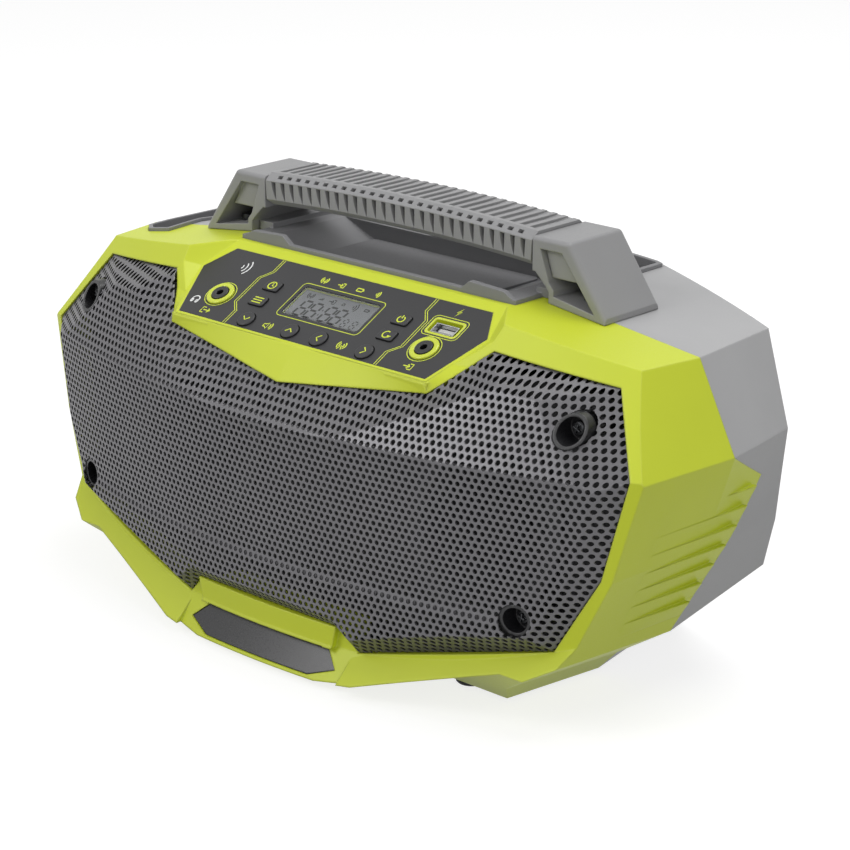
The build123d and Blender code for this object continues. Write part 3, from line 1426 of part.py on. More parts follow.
with BuildPart() as handle_bridge:
    for side in (-1, 1):
        extrude(
            post_section(HANDLE_FRONT, post_outline(False), side),
            amount=-(HANDLE_REAR - HANDLE_FRONT),
        )
    long_edges = (
        handle_bridge.edges()
        .filter_by(Axis.Y)
        .filter_by(lambda e: e.center().Z > HANDLE_TOP - 1 and abs(e.center().X) > KNEE_HALF - 1)
    )
    fillet(long_edges, radius=2.4)
    front_edges = handle_bridge.faces().filter_by(Axis.Z).sort_by(Axis.Z)[-2:].edges().filter_by(Axis.X)
    fillet(front_edges, radius=2.0)
    for side in (-1, 1):
        extrude(
            post_section(HANDLE_FRONT, post_outline(True), side),
            amount=-(HANDLE_REAR - HANDLE_FRONT - POST_BACK),
            mode=Mode.SUBTRACT,
        )
        block = [
            (GRIP_HALF + 5.0, HANDLE_TOP - KNEE_SLAB + 0.5),
            (KNEE_HALF - 3.0, HANDLE_TOP - KNEE_SLAB + 0.5),
            (KNEE_HALF + 4.5, HANDLE_TOP - KNEE_SLAB - 12.5),
            (GRIP_HALF + 9.0, HANDLE_TOP - KNEE_SLAB - 12.5),
        ]
        extrude(
            post_section(HANDLE_FRONT + POST_BLOCK_SET, block, side),
            amount=-(HANDLE_REAR - HANDLE_FRONT - POST_BLOCK_SET - 1),
        )
    add(arch_ring(CORE_SECTION, GRIP_HALF + CORE_BITE))
    add(HANDLE_SCREW_HOLES, mode=Mode.SUBTRACT)
export(handle_bridge.part, "handle_bridge")

# Ribbed grip: an arched sleeve round the handle's core.
GRIP_SLOT_WIDTH = 2.9
GRIP_SLOT_TALL = 9.4
GRIP_HOLE_WIDTH = 2.9
GRIP_HOLE_TALL = 2.0
GRIP_GROOVE_WIDTH = 3.6
GRIP_GROOVE_DEEP = 1.3
GRIP_SPAN = 2 * GRIP_HALF - 11.0
GRIP_SHELL = 2.4

GRIP_SECTION = [
    (HANDLE_FRONT, -GRIP_DEPTH + 3.0),
    (HANDLE_FRONT, -3.4),
    (HANDLE_FRONT + GRIP_CHAMFER, 0),
    (HANDLE_REAR - 5.0, 0),
    (HANDLE_REAR, -4.0),
    (HANDLE_REAR, -GRIP_DEPTH + 4.0),
    (HANDLE_REAR - 3.0, -GRIP_DEPTH),
    (HANDLE_FRONT + 4.0, -GRIP_DEPTH),
]


def radial_cut(plane, points, width):
    """Prism through a section of the arch, centred on the section plane."""
    with BuildPart() as cutter:
        with BuildSketch(plane):
            with BuildLine():
                Polyline(*points, close=True)
            make_face()
        extrude(amount=width / 2, both=True)
    return cutter.part


HOLE_MIDDLE = (HANDLE_FRONT + GRIP_CHAMFER / 2, -1.7)
HOLE_ALONG = (0.777, 0.63)
HOLE_OUT = (-0.63, 0.777)


def hole_corner(along, out):
    """Point of a chamfer hole's section, from its middle."""
    return (
        HOLE_MIDDLE[0] + along * HOLE_ALONG[0] + out * HOLE_OUT[0],
        HOLE_MIDDLE[1] + along * HOLE_ALONG[1] + out * HOLE_OUT[1],
    )


GROOVE_SECTION = [
    (HANDLE_FRONT + 6.4, -GRIP_GROOVE_DEEP),
    (HANDLE_FRONT + 6.4, 3),
    (HANDLE_REAR + 1, 3),
    (HANDLE_REAR + 1, -0.2),
    (HANDLE_REAR - 12, -GRIP_GROOVE_DEEP),
]
HOLE_SECTION = [
    hole_corner(-GRIP_HOLE_TALL / 2, -4),
    hole_corner(GRIP_HOLE_TALL / 2, -4),
    hole_corner(GRIP_HOLE_TALL / 2, 1),
    hole_corner(-GRIP_HOLE_TALL / 2, 1),
]

with BuildPart() as grip_cuts:
    for index in range(GRIP_SLOTS):
        turn = degrees((index / (GRIP_SLOTS - 1) - 0.5) * GRIP_SPAN / ARCH_RADIUS)
        half_step = degrees(0.5 * GRIP_SPAN / (GRIP_SLOTS - 1) / ARCH_RADIUS)
        here = arch_plane(turn)
        wall = Plane(
            here.origin + here.y_dir * -3.4,
            x_dir=here.z_dir,
            z_dir=(0, 1, 0),
        )
        with BuildSketch(wall.offset(HANDLE_FRONT - 1)):
            with BuildLine():
                Line((-GRIP_SLOT_WIDTH / 2, 0.5), (GRIP_SLOT_WIDTH / 2, 0.5))
                Line((GRIP_SLOT_WIDTH / 2, 0.5), (GRIP_SLOT_WIDTH / 2, GRIP_SLOT_TALL))
                Spline(
                    (GRIP_SLOT_WIDTH / 2, GRIP_SLOT_TALL),
                    (-GRIP_SLOT_WIDTH * 0.15, GRIP_SLOT_TALL * 0.55),
                    (-GRIP_SLOT_WIDTH / 2, 0.5),
                )
            make_face()
        extrude(amount=GRIP_SHELL + 3)
        add(radial_cut(here, GROOVE_SECTION, GRIP_GROOVE_WIDTH))
        if index:
            add(radial_cut(arch_plane(turn - half_step), HOLE_SECTION, GRIP_HOLE_WIDTH))

with BuildPart() as handle_grip:
    add(arch_ring(GRIP_SECTION, GRIP_HALF - SEAT))
    add(arch_ring(grown(GRIP_SECTION, -GRIP_SHELL), GRIP_HALF), mode=Mode.SUBTRACT)
    add(grip_cuts.part, mode=Mode.SUBTRACT)
export(handle_grip.part, "handle_grip")

with BuildPart() as handle_screws:
    add(
        handle_screw_rounds(
            HANDLE_SCREW_HEAD, HANDLE_SCREW_SEAT, HANDLE_SCREW_SEAT + HANDLE_SCREW_TALL
        )
    )
    add(
        handle_screw_rounds(
            HANDLE_SCREW_SHANK, HANDLE_SCREW_SEAT - HANDLE_SCREW_LENGTH, HANDLE_SCREW_SEAT
        )
    )
export(handle_screws.part, "handle_screws")

# -------------------------------------------------------- control panel pieces
MODULE_THICK = 2.2
MODULE_EDGE = 1.0          # display module inside the window's edge
LENS_SUNK = 0.3            # window face below the overlay's face
BACKLIGHT_EDGE = 3.0
BOARD_HALF = 47.0
BOARD_FRONT = 2.8
BOARD_REAR = 40.0
BOARD_POSTS = [(-23.0, 5.4), (23.0, 5.4), (-30.3, 33.0), (30.3, 33.0)]
BOARD_POST_RADIUS = 1.9
SWITCH_SIDE = 4.4
SWITCH_HEIGHT = 2.4

with BuildPart() as panel_overlay:
    add(panel_block(0, -PANEL_THICK, 0))
    add(panel_cut(JACK_RING_RADIUS + SEAT), mode=Mode.SUBTRACT)
export(panel_overlay.part, "panel_overlay")

with BuildPart() as display_lens:
    with BuildSketch(PANEL_PLANE.offset(-PANEL_THICK)):
        with Locations((0, LENS_ROW)):
            RectangleRounded(WINDOW_WIDTH, WINDOW_LENGTH, LENS_CORNER - SEAT)
    extrude(amount=PANEL_THICK - LENS_SUNK)
export(display_lens.part, "display_lens")


def display_slab(edge, low, high):
    """Slab below the window, narrower than it by edge all round."""
    with BuildPart() as slab:
        with BuildSketch(PANEL_PLANE.offset(low)):
            with Locations((0, LENS_ROW)):
                Rectangle(WINDOW_WIDTH - 2 * edge, WINDOW_LENGTH - 2 * edge)
        extrude(amount=high - low)
    return slab.part


MODULE_LOW = -PANEL_THICK - MODULE_THICK
export(display_slab(MODULE_EDGE, MODULE_LOW, -PANEL_THICK), "display_module")
export(display_slab(BACKLIGHT_EDGE, -BOARD_DEPTH, MODULE_LOW), "display_backlight")

with BuildPart() as key_board:
    with BuildSketch(PANEL_PLANE.offset(-BOARD_DEPTH - BOARD_THICK)):
        with Locations((0, (BOARD_FRONT + BOARD_REAR) / 2)):
            Rectangle(2 * BOARD_HALF, BOARD_REAR - BOARD_FRONT)
    extrude(amount=BOARD_THICK)
    with BuildSketch(PANEL_PLANE.offset(-BOARD_DEPTH)):
        with Locations(*BOARD_POSTS):
            Circle(BOARD_POST_RADIUS)
    extrude(amount=BOARD_DEPTH + SEAT_LOW)
export(key_board.part, "key_board")

with BuildPart() as key_switches:
    with BuildSketch(PANEL_PLANE.offset(-BOARD_DEPTH)):
        for _, x, y, _ in KEY_POINTS:
            with Locations((x, y)):
                Rectangle(SWITCH_SIDE, SWITCH_SIDE)
    extrude(amount=SWITCH_HEIGHT)
export(key_switches.part, "key_switches")

# Keys: a cap through the overlay, a flange that keeps it in, a foot on its switch.
KEY_CAP_LOW = SEAT_LOW - 0.3
KEY_FLANGE = 1.0
KEY_FLANGE_THICK = 0.6
KEY_FOOT_LOW = -BOARD_DEPTH + SWITCH_HEIGHT + KEY_TRAVEL + 0.05
KEY_EDGE_ROUND = 0.5

for name, x, y, shape in KEY_POINTS:
    with BuildPart() as key:
        with BuildSketch(PANEL_PLANE.offset(KEY_CAP_LOW)):
            with Locations((x, y)):
                key_sketch(shape, 0)
        extrude(amount=KEY_RISE - KEY_CAP_LOW)
        fillet(key.faces().sort_by(PANEL_AXIS)[-1].edges(), radius=KEY_EDGE_ROUND)
        with BuildSketch(PANEL_PLANE.offset(KEY_CAP_LOW - KEY_FLANGE_THICK)):
            with Locations((x, y)):
                key_sketch(shape, KEY_FLANGE)
        extrude(amount=KEY_FLANGE_THICK)
        with BuildSketch(PANEL_PLANE.offset(KEY_FOOT_LOW)):
            with Locations((x, y)):
                Circle(KEY_STEM / 2)
        extrude(amount=KEY_CAP_LOW - KEY_FLANGE_THICK - KEY_FOOT_LOW)
    export(key.part, name)

# Audio sockets: a coloured ring in the overlay round a bored jack.
RING_PROUD = 0.9
RING_ROUND = 0.6
JACK_PROUD = RING_PROUD + 0.3
for side, word in ((-1, "out"), (1, "in")):
    centre = (side * JACK_SIDE, JACK_ROW)
    with BuildPart() as ring:
        with BuildSketch(PANEL_PLANE.offset(-PANEL_THICK)):
            with Locations(centre):
                Circle(JACK_RING_RADIUS)
                Circle(JACK_BODY_RADIUS + SEAT, mode=Mode.SUBTRACT)
        extrude(amount=PANEL_THICK + RING_PROUD)
        fillet(ring.faces().sort_by(PANEL_AXIS)[-1].edges(), radius=RING_ROUND)
    export(ring.part, f"aux_{word}_ring")
    with BuildPart() as jack:
        with BuildSketch(PANEL_PLANE.offset(JACK_PROUD - JACK_BORE_LENGTH)):
            with Locations(centre):
                Circle(JACK_BODY_RADIUS)
                Circle(JACK_BORE_RADIUS, mode=Mode.SUBTRACT)
        extrude(amount=JACK_BORE_LENGTH)
    export(jack.part, f"aux_{word}_jack")

# Service socket: a sunken well, a thin metal shell and its tongue.
USB_WELL_WALL = 1.2
USB_SHELL_WALL = 0.4
USB_SHELL_BACK = 1.5
USB_FACE = -0.4            # shell's mouth below the overlay's face
USB_SHELL_ROW = USB_ROW - 0.6
USB_TONGUE_ROW = USB_ROW + 0.6
USB_TONGUE_THICK = 1.8
USB_FLOOR = -PANEL_THICK - USB_WELL_DEPTH
USB_SHELL_LOW = -PANEL_THICK - USB_SHELL_LENGTH

with BuildPart() as usb_well:
    with BuildSketch(PANEL_PLANE.offset(USB_FLOOR)):
        with Locations((USB_SIDE, USB_ROW)):
            RectangleRounded(USB_WELL_WIDTH, USB_WELL_LENGTH, USB_WELL_CORNER)
    extrude(amount=-USB_FLOOR)
    with BuildSketch(PANEL_PLANE.offset(USB_FLOOR + USB_WELL_WALL)):
        with Locations((USB_SIDE, USB_ROW)):
            RectangleRounded(
                USB_WELL_WIDTH - 2 * USB_WELL_WALL,
                USB_WELL_LENGTH - 2 * USB_WELL_WALL,
                USB_WELL_CORNER - USB_WELL_WALL / 2,
            )
    extrude(amount=-USB_FLOOR, mode=Mode.SUBTRACT)
    with BuildSketch(PANEL_PLANE.offset(USB_FLOOR)):
        with Locations((USB_SIDE, USB_SHELL_ROW)):
            Rectangle(USB_SHELL_WIDTH + 2 * SEAT, USB_SHELL_HEIGHT + 2 * SEAT)
    extrude(amount=USB_WELL_WALL, mode=Mode.SUBTRACT)
export(usb_well.part, "usb_well")

with BuildPart() as usb_shell:
    with BuildSketch(PANEL_PLANE.offset(USB_SHELL_LOW)):
        with Locations((USB_SIDE, USB_SHELL_ROW)):
            Rectangle(USB_SHELL_WIDTH, USB_SHELL_HEIGHT)
    extrude(amount=USB_FACE - USB_SHELL_LOW)
    with BuildSketch(PANEL_PLANE.offset(USB_SHELL_LOW + USB_SHELL_BACK)):
        with Locations((USB_SIDE, USB_SHELL_ROW)):
            Rectangle(
                USB_SHELL_WIDTH - 2 * USB_SHELL_WALL,
                USB_SHELL_HEIGHT - 2 * USB_SHELL_WALL,
            )
    extrude(amount=USB_SHELL_LENGTH, mode=Mode.SUBTRACT)
export(usb_shell.part, "usb_shell")

with BuildPart() as usb_tongue:
    with BuildSketch(PANEL_PLANE.offset(USB_SHELL_LOW + USB_SHELL_BACK)):
        with Locations((USB_SIDE, USB_TONGUE_ROW)):
            Rectangle(USB_SHELL_WIDTH - 2.2, USB_TONGUE_THICK)
    extrude(amount=USB_SHELL_LENGTH - 2 * USB_SHELL_BACK)
export(usb_tongue.part, "usb_tongue")

# -------------------------------------------------- badge plate and rubber feet
BADGE_AHEAD = 60.0         # sketch plane in front of the body
FOOT_EDGE = 0.6
with BuildPart() as badge_plate:
    with BuildSketch(Plane.XZ.offset(BADGE_AHEAD)):
        with BuildLine():
            badge_right = [
                (BADGE_TOP_HALF, LEDGE_LOW - SEAT),
                (BADGE_TIP_HALF, BADGE_TIP),
                (BADGE_LOW_HALF, BADGE_LOW),
            ]
            Polyline(*mirrored(badge_right), close=True)
        make_face()
    extrude(amount=BADGE_AHEAD)
    add(face_barrel(BADGE_POCKET - BADGE_THICK), mode=Mode.INTERSECT)
    add(face_barrel(BADGE_POCKET - SEAT / 4), mode=Mode.SUBTRACT)
export(badge_plate.part, "badge_plate")

with BuildPart() as rubber_feet:
    with BuildSketch(Plane.XY):
        for side in (-1, 1):
            with Locations((side * FOOT_X, FOOT_FRONT_Y), (side * FOOT_X, FOOT_REAR_Y)):
                Circle(FOOT_RADIUS)
    extrude(amount=SKID_BOTTOM)
    chamfer(rubber_feet.faces().sort_by(Axis.Z)[:4].edges(), length=FOOT_EDGE)
export(rubber_feet.part, "rubber_feet")

# ------------------------------------------------------------- works inside
MAIN_BOARD_HALF = 52.0
MAIN_BOARD_LOW = 30.0
MAIN_BOARD_HIGH = 124.0
MAIN_BOARD_FACE = BAY_FLOOR_Y - BAY_WALL - BOARD_THICK
SINK_AT = (-22.0, 74.0)
SINK_WIDTH = 44.0
SINK_TALL = 50.0
SINK_PLATE = 4.0
SINK_FIN = 12.0
FIN_COUNT = 9
FIN_THICK = 1.4
CAN_POINTS = [(12.0, 60.0), (26.0, 60.0), (12.0, 78.0), (26.0, 78.0)]
CAN_RADIUS = 5.0
CAN_TALL = 18.0
CARD_AT = (20.0, 108.0)
CARD_WIDTH = 26.0
CARD_TALL = 16.0
CARD_THICK = 2.4
CORE_Y = -8.0
CORE_WIDE = 46.0
CORE_DEEP = 34.0
CORE_TALL = 36.0
COIL_WIDE = 34.0
COIL_DEEP = 46.0
COIL_TALL = 24.0
ROD_RADIUS = 4.0
ROD_HALF = 45.0
ROD_Y = 24.0
CLIP_X = 36.0
CLIP_WIDE = 4.0
CLIP_EDGE = 2.0

with BuildPart() as main_board:
    with BuildSketch(Plane.XZ.offset(-MAIN_BOARD_FACE)):
        with Locations((0, (MAIN_BOARD_LOW + MAIN_BOARD_HIGH) / 2)):
            Rectangle(2 * MAIN_BOARD_HALF, MAIN_BOARD_HIGH - MAIN_BOARD_LOW)
    extrude(amount=-BOARD_THICK)
export(main_board.part, "main_board")

with BuildPart() as heat_sink:
    with BuildSketch(Plane.XZ.offset(-MAIN_BOARD_FACE)):
        with Locations(SINK_AT):
            Rectangle(SINK_WIDTH, SINK_TALL)
    extrude(amount=SINK_PLATE)
    with BuildSketch(Plane.XZ.offset(-MAIN_BOARD_FACE + SINK_PLATE)):
        with Locations(SINK_AT):
            with GridLocations(SINK_WIDTH / FIN_COUNT, 1, FIN_COUNT, 1):
                Rectangle(FIN_THICK, SINK_TALL)
    extrude(amount=SINK_FIN)
export(heat_sink.part, "heat_sink")

with BuildPart() as capacitors:
    with BuildSketch(Plane.XZ.offset(-MAIN_BOARD_FACE)):
        with Locations(*CAN_POINTS):
            Circle(CAN_RADIUS)
    extrude(amount=CAN_TALL)
export(capacitors.part, "capacitors")

with BuildPart() as wireless_card:
    with BuildSketch(Plane.XZ.offset(-MAIN_BOARD_FACE)):
        with Locations(CARD_AT):
            Rectangle(CARD_WIDTH, CARD_TALL)
    extrude(amount=CARD_THICK)
export(wireless_card.part, "wireless_card")

with BuildPart() as power_transformer:
    with BuildSketch(Plane.XY.offset(BELLY_HEIGHT + WALL)):
        with Locations((0, CORE_Y)):
            Rectangle(CORE_WIDE, CORE_DEEP)
    extrude(amount=CORE_TALL)
    with BuildSketch(Plane.XY.offset(BELLY_HEIGHT + WALL + (CORE_TALL - COIL_TALL) / 2)):
        with Locations((0, CORE_Y)):
            Rectangle(COIL_WIDE, COIL_DEEP)
    extrude(amount=COIL_TALL)
export(power_transformer.part, "power_transformer")

ROD_Z = TRAY_BASE - ROD_RADIUS - CLIP_EDGE
with BuildPart() as antenna_rod:
    with BuildSketch(Plane.YZ.offset(-ROD_HALF)):
        with Locations((ROD_Y, ROD_Z)):
            Circle(ROD_RADIUS)
    extrude(amount=2 * ROD_HALF)
export(antenna_rod.part, "antenna_rod")

with BuildPart() as antenna_clips:
    for x in (-CLIP_X, CLIP_X):
        with BuildSketch(Plane.YZ.offset(x - CLIP_WIDE / 2)):
            with Locations((ROD_Y, ROD_Z)):
                Rectangle(2 * (ROD_RADIUS + CLIP_EDGE), 2 * (ROD_RADIUS + CLIP_EDGE))
                Circle(ROD_RADIUS + SEAT, mode=Mode.SUBTRACT)
        extrude(amount=CLIP_WIDE)
export(antenna_clips.part, "antenna_clips")
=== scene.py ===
"""Looks of a jobsite radio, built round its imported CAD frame.

The shells, handle, tray and keys are the frame's own parts with new finishes.
The perforated grille, the printed marks, the display's segments and the screws
are pieces made here, each riding on the body that carries it.

Lengths are millimetres in the sizes below and metres in Blender.
"""

import logging
import math
from collections.abc import Iterable, Mapping, Sequence
from dataclasses import dataclass, field, replace
from enum import Enum
from functools import partial
from typing import Any, ClassVar

import bmesh
import bpy
from mathutils import Matrix, Vector
from mathutils.bvhtree import BVHTree


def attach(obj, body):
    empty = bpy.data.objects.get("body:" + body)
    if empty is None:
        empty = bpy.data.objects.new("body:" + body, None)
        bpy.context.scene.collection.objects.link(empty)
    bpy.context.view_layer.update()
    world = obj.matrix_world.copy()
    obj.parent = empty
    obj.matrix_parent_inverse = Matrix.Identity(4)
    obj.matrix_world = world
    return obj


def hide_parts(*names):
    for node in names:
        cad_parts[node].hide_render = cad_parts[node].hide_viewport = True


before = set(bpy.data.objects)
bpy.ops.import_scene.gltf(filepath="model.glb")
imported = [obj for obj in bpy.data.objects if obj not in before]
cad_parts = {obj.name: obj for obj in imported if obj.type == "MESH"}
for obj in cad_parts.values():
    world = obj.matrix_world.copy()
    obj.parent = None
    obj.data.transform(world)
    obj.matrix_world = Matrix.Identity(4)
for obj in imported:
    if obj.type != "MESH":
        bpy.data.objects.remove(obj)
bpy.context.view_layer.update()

log = logging.getLogger("jobsite_radio")

MM = 0.001
# Rays cast straight back start here, in front of everything.
RAY_START_Y = -200.0
# Middles, in X and Z, of the two screw wells on the right.
SCREW_WELLS = ((151.3, 136.6), (136.4, 53.5))

Form = bmesh.types.BMesh
Tree = bpy.types.NodeTree
Socket = bpy.types.NodeSocket
Point = tuple[float, float]
Stroke = tuple[Sequence[Point], bool]


# ---------------------------------------------------------------- shared tools
def linear(hex_colour: str) -> tuple[float, float, float, float]:
    """Turn an sRGB hex colour into a linear one.

    Args:
        hex_colour: Six hex digits after a #.

    Returns:
        Linear red, green, blue, and an alpha of 1.
    """
    channels = [int(hex_colour[i : i + 2], 16) / 255 for i in (1, 3, 5)]
    red, green, blue = (
        c / 12.92 if c <= 0.04045 else ((c + 0.055) / 1.055) ** 2.4 for c in channels
    )
    return (red, green, blue, 1.0)


def add_node(
    tree: Tree,
    kind: str,
    settings: Mapping[str, Any] | None = None,
    inputs: Mapping[str | int, Any] | None = None,
) -> bpy.types.Node:
    """Add one node, with its settings and what feeds it.

    Args:
        tree: Node tree that takes the node.
        kind: Blender's name for the kind of node.
        settings: Properties of the node.
        inputs: For each input, a socket to link or a value to set.

    Returns:
        The new node.
    """
    node = tree.nodes.new(kind)
    for key, value in (settings or {}).items():
        setattr(node, key, value)
    for key, value in (inputs or {}).items():
        if isinstance(value, Socket):
            tree.links.new(value, node.inputs[key])
        else:
            node.inputs[key].default_value = value
    return node


def remap(
    tree: Tree, value: Any, source: Point, target: Point
) -> Socket:
    """Carry one range of a value over to another.

    Args:
        tree: Node tree that takes the node.
        value: Socket with the value.
        source: Start and end of the range that comes in.
        target: Start and end of the range that goes out.

    Returns:
        The socket with the new value.
    """
    names = ("From Min", "From Max", "To Min", "To Max")
    inputs = {"Value": value, **dict(zip(names, (*source, *target)))}
    return add_node(tree, "ShaderNodeMapRange", inputs=inputs).outputs["Result"]


def as_mesh(form: Form, name: str) -> bpy.types.Mesh:
    """Turn a form into a mesh.

    Args:
        form: The form, which is freed.
        name: Name of the mesh.

    Returns:
        The mesh.
    """
    mesh = bpy.data.meshes.new(name)
    form.to_mesh(mesh)
    form.free()
    return mesh


def put(name: str, data: bpy.types.ID) -> bpy.types.Object:
    """Add an object to the scene.

    Args:
        name: Name of the object.
        data: Its mesh, lamp or camera.

    Returns:
        The object.
    """
    thing = bpy.data.objects.new(name, data)
    bpy.context.scene.collection.objects.link(thing)
    return thing


def stand_up(form: Form, verts: Sequence[bmesh.types.BMVert]) -> None:
    """Turn points from the X-Y plane into the X-Z plane."""
    quarter = Matrix.Rotation(math.pi / 2, 3, "X")
    bmesh.ops.rotate(form, cent=(0, 0, 0), matrix=quarter, verts=verts)


def sides_of(points: Sequence[Any]) -> list[tuple[Any, Any]]:
    """Each point with the next one, and the last with the first."""
    return list(zip(points, [*points[1:], points[0]]))


def cast_back(tree: BVHTree, x: float, z: float) -> tuple[Vector | None, Vector | None]:
    """First hit on a surface, going straight back from in front of it.

    Args:
        tree: The surface.
        x: Distance to the right, in millimetres.
        z: Height, in millimetres.

    Returns:
        The point hit in metres and the way the surface faces there, or two Nones.
    """
    start = Vector((x, RAY_START_Y, z)) * MM
    return tree.ray_cast(start, Vector((0, 1, 0)))[:2]


def surface_of(nodes: Iterable[str]) -> BVHTree:
    """Search tree over the outside of some of the frame's parts.

    Args:
        nodes: Names of CAD nodes.

    Returns:
        One tree over all their faces.
    """
    shell = bmesh.new()
    for name in nodes:
        shell.from_mesh(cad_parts[name].data)
    tree = BVHTree.FromBMesh(shell)
    shell.free()
    return tree


def arc(centre: Point, radius: float, start: float, end: float, steps: int = 24) -> list[Point]:
    """Points round part of a circle.

    Args:
        centre: Middle of the circle.
        radius: Its radius.
        start: First angle in degrees, from the right, turning left.
        end: Last angle in degrees.
        steps: Number of steps between them.

    Returns:
        The points in order.
    """
    turns = [math.radians(start + (end - start) * i / steps) for i in range(steps + 1)]
    return [
        (centre[0] + radius * math.cos(turn), centre[1] + radius * math.sin(turn))
        for turn in turns
    ]


def ring(centre: Point, radius: float) -> Stroke:
    """Closed round stroke."""
    return (arc(centre, radius, 0, 345, 23), True)


def rounded_box(centre: Point, half: Point, radius: float) -> Stroke:
    """Closed stroke round a rectangle with round corners.

    Args:
        centre: Middle of the rectangle.
        half: Half its width and half its height.
        radius: Radius of its corners.

    Returns:
        The stroke.
    """
    points: list[Point] = []
    for start, (sx, sy) in zip((0, 90, 180, 270), ((1, 1), (-1, 1), (-1, -1), (1, -1))):
        corner = (centre[0] + sx * (half[0] - radius), centre[1] + sy * (half[1] - radius))
        points += arc(corner, radius, start, start + 90, 5)
    return (points, True)


# -------------------------------------------------------------------- finishes
@dataclass(frozen=True)
class Finish:
    """A real material with the way its surface was made.

    Attributes:
        label: Name of the material.
        colour: Body colour.
        edge_wear_and_highlight_colour: Colour along edges, where moulding or rubbing shows; it
            also paints a highlight on those rounded edges.
        roughness: Middle roughness.
        roughness_swing: How far the grain moves the roughness, either way.
        metallic: 1 for a bare metal.
        grain_mm: Size of the surface grain.
        grain_depth_mm: Height of that grain.
        stretch: Grain's size along X, Y and Z against grain_mm.
        cloud_mm: Size of the slow unevenness in colour.
        cloud: Strength of that unevenness.
        edge_mm: Radius to which edges look rounded.
        edge: Strength of that colour along edges, as wear and as a painted highlight.
        ior: Index of refraction.
        coat: Weight of a clear top layer.
        transmission: 1 for a clear material.
        sheen: Weight of a soft, dusty sheen.
    """

    label: str
    colour: str
    edge_wear_and_highlight_colour: str = "#808080"
    roughness: float = 0.5
    roughness_swing: float = 0.06
    metallic: float = 0.0
    grain_mm: float = 0.6
    grain_depth_mm: float = 0.012
    stretch: tuple[float, float, float] = (1.0, 1.0, 1.0)
    cloud_mm: float = 45.0
    cloud: float = 0.05
    edge_mm: float = 0.9
    edge: float = 0.5
    ior: float = 1.5
    coat: float = 0.0
    transmission: float = 0.0
    sheen: float = 0.0

    made: ClassVar[dict[str, bpy.types.Material]] = {}
    edge_span: ClassVar[Point] = (0.998, 0.9)
    cloud_span: ClassVar[Point] = (0.25, 0.75)
    grain_span: ClassVar[Point] = (0.3, 0.7)
    edge_samples: ClassVar[int] = 6
    grain_detail: ClassVar[Point] = (2.0, 0.6)
    cloud_detail: ClassVar[float] = 3.0

    def material(self) -> bpy.types.Material:
        """Build the node material, once.

        Returns:
            The material, shared by all that has this finish.
        """
        if self.label not in self.made:
            material = bpy.data.materials.new(self.label)
            material.use_nodes = True
            material.node_tree.nodes.clear()
            self.build(material.node_tree)
            self.made[self.label] = material
        return self.made[self.label]

    def build(self, tree: Tree) -> None:
        """Lay out the nodes: grain, slow unevenness, and rounded edges, worn and with a painted
        highlight.

        Args:
            tree: Empty tree of the material.
        """
        add = partial(add_node, tree)
        place = add("ShaderNodeTexCoord")
        grain_place = add(
            "ShaderNodeMapping",
            inputs={
                "Vector": place.outputs["Object"], "Scale": tuple(1 / s for s in self.stretch)
            },
        )
        grain = add(
            "ShaderNodeTexNoise",
            inputs={
                "Vector": grain_place.outputs["Vector"],
                "Scale": 1 / (self.grain_mm * MM),
                "Detail": self.grain_detail[0],
                "Roughness": self.grain_detail[1],
            },
        )
        cloud = add(
            "ShaderNodeTexNoise",
            inputs={
                "Vector": place.outputs["Object"],
                "Scale": 1 / (self.cloud_mm * MM),
                "Detail": self.cloud_detail,
            },
        )
        rounded = add(
            "ShaderNodeBevel", {"samples": self.edge_samples}, {"Radius": self.edge_mm * MM}
        )
        facing = add("ShaderNodeNewGeometry")
        agreement = add(
            "ShaderNodeVectorMath",
            {"operation": "DOT_PRODUCT"},
            {0: rounded.outputs["Normal"], 1: facing.outputs["Normal"]},
        )
        at_edge = remap(tree, agreement.outputs["Value"], self.edge_span, (0.0, self.edge))
        shade = remap(
            tree, cloud.outputs["Fac"], self.cloud_span, (1 - self.cloud, 1 + self.cloud)
        )
        uneven = add(
            "ShaderNodeHueSaturation", inputs={"Color": linear(self.colour), "Value": shade}
        )
        # Edge colour mixed in along edges: rubbing wear and a painted highlight.
        wear_and_highlight = add(
            "ShaderNodeMix",
            {"data_type": "RGBA"},
            {0: at_edge, 6: uneven.outputs["Color"], 7: linear(self.edge_wear_and_highlight_colour)},
        )
        smooth = self.roughness - self.roughness_swing
        rough = self.roughness + self.roughness_swing
        gloss = remap(tree, grain.outputs["Fac"], self.grain_span, (smooth, rough))
        relief = add(
            "ShaderNodeBump",
            inputs={
                "Height": grain.outputs["Fac"],
                "Distance": self.grain_depth_mm * MM,
                "Normal": rounded.outputs["Normal"],
            },
        )
        shader = add(
            "ShaderNodeBsdfPrincipled",
            inputs={
                "Base Color": wear_and_highlight.outputs[2],
                "Roughness": gloss,
                "Normal": relief.outputs["Normal"],
                "Metallic": self.metallic,
                "IOR": self.ior,
                "Coat Weight": self.coat,
                "Transmission Weight": self.transmission,
                "Sheen Weight": self.sheen,
            },
        )
        add("ShaderNodeOutputMaterial", inputs={"Surface": shader.outputs["BSDF"]})


# The second colour of each finish goes along its edges, as wear and as a painted highlight, as
# strong as its edge value.
# Spark-eroded ABS: an even satin, with a painted highlight along its moulded edges in its paler
# edge colour.
LIME_ABS = Finish("lime_abs_satin", "#C6D22A", "#D3DC5A", 0.46, edge_mm=1.2, cloud=0.03)
GREY_ABS = Finish("pale_grey_abs_grained", "#A6A6A7", "#BDBDBE", 0.5, grain_mm=0.5, edge_mm=1.3)
HANDLE_ABS = Finish(
    "grey_abs_handle", "#8C8C8D", "#A2A2A3", 0.48, grain_mm=0.7, edge_mm=1.0, edge=0.4
)
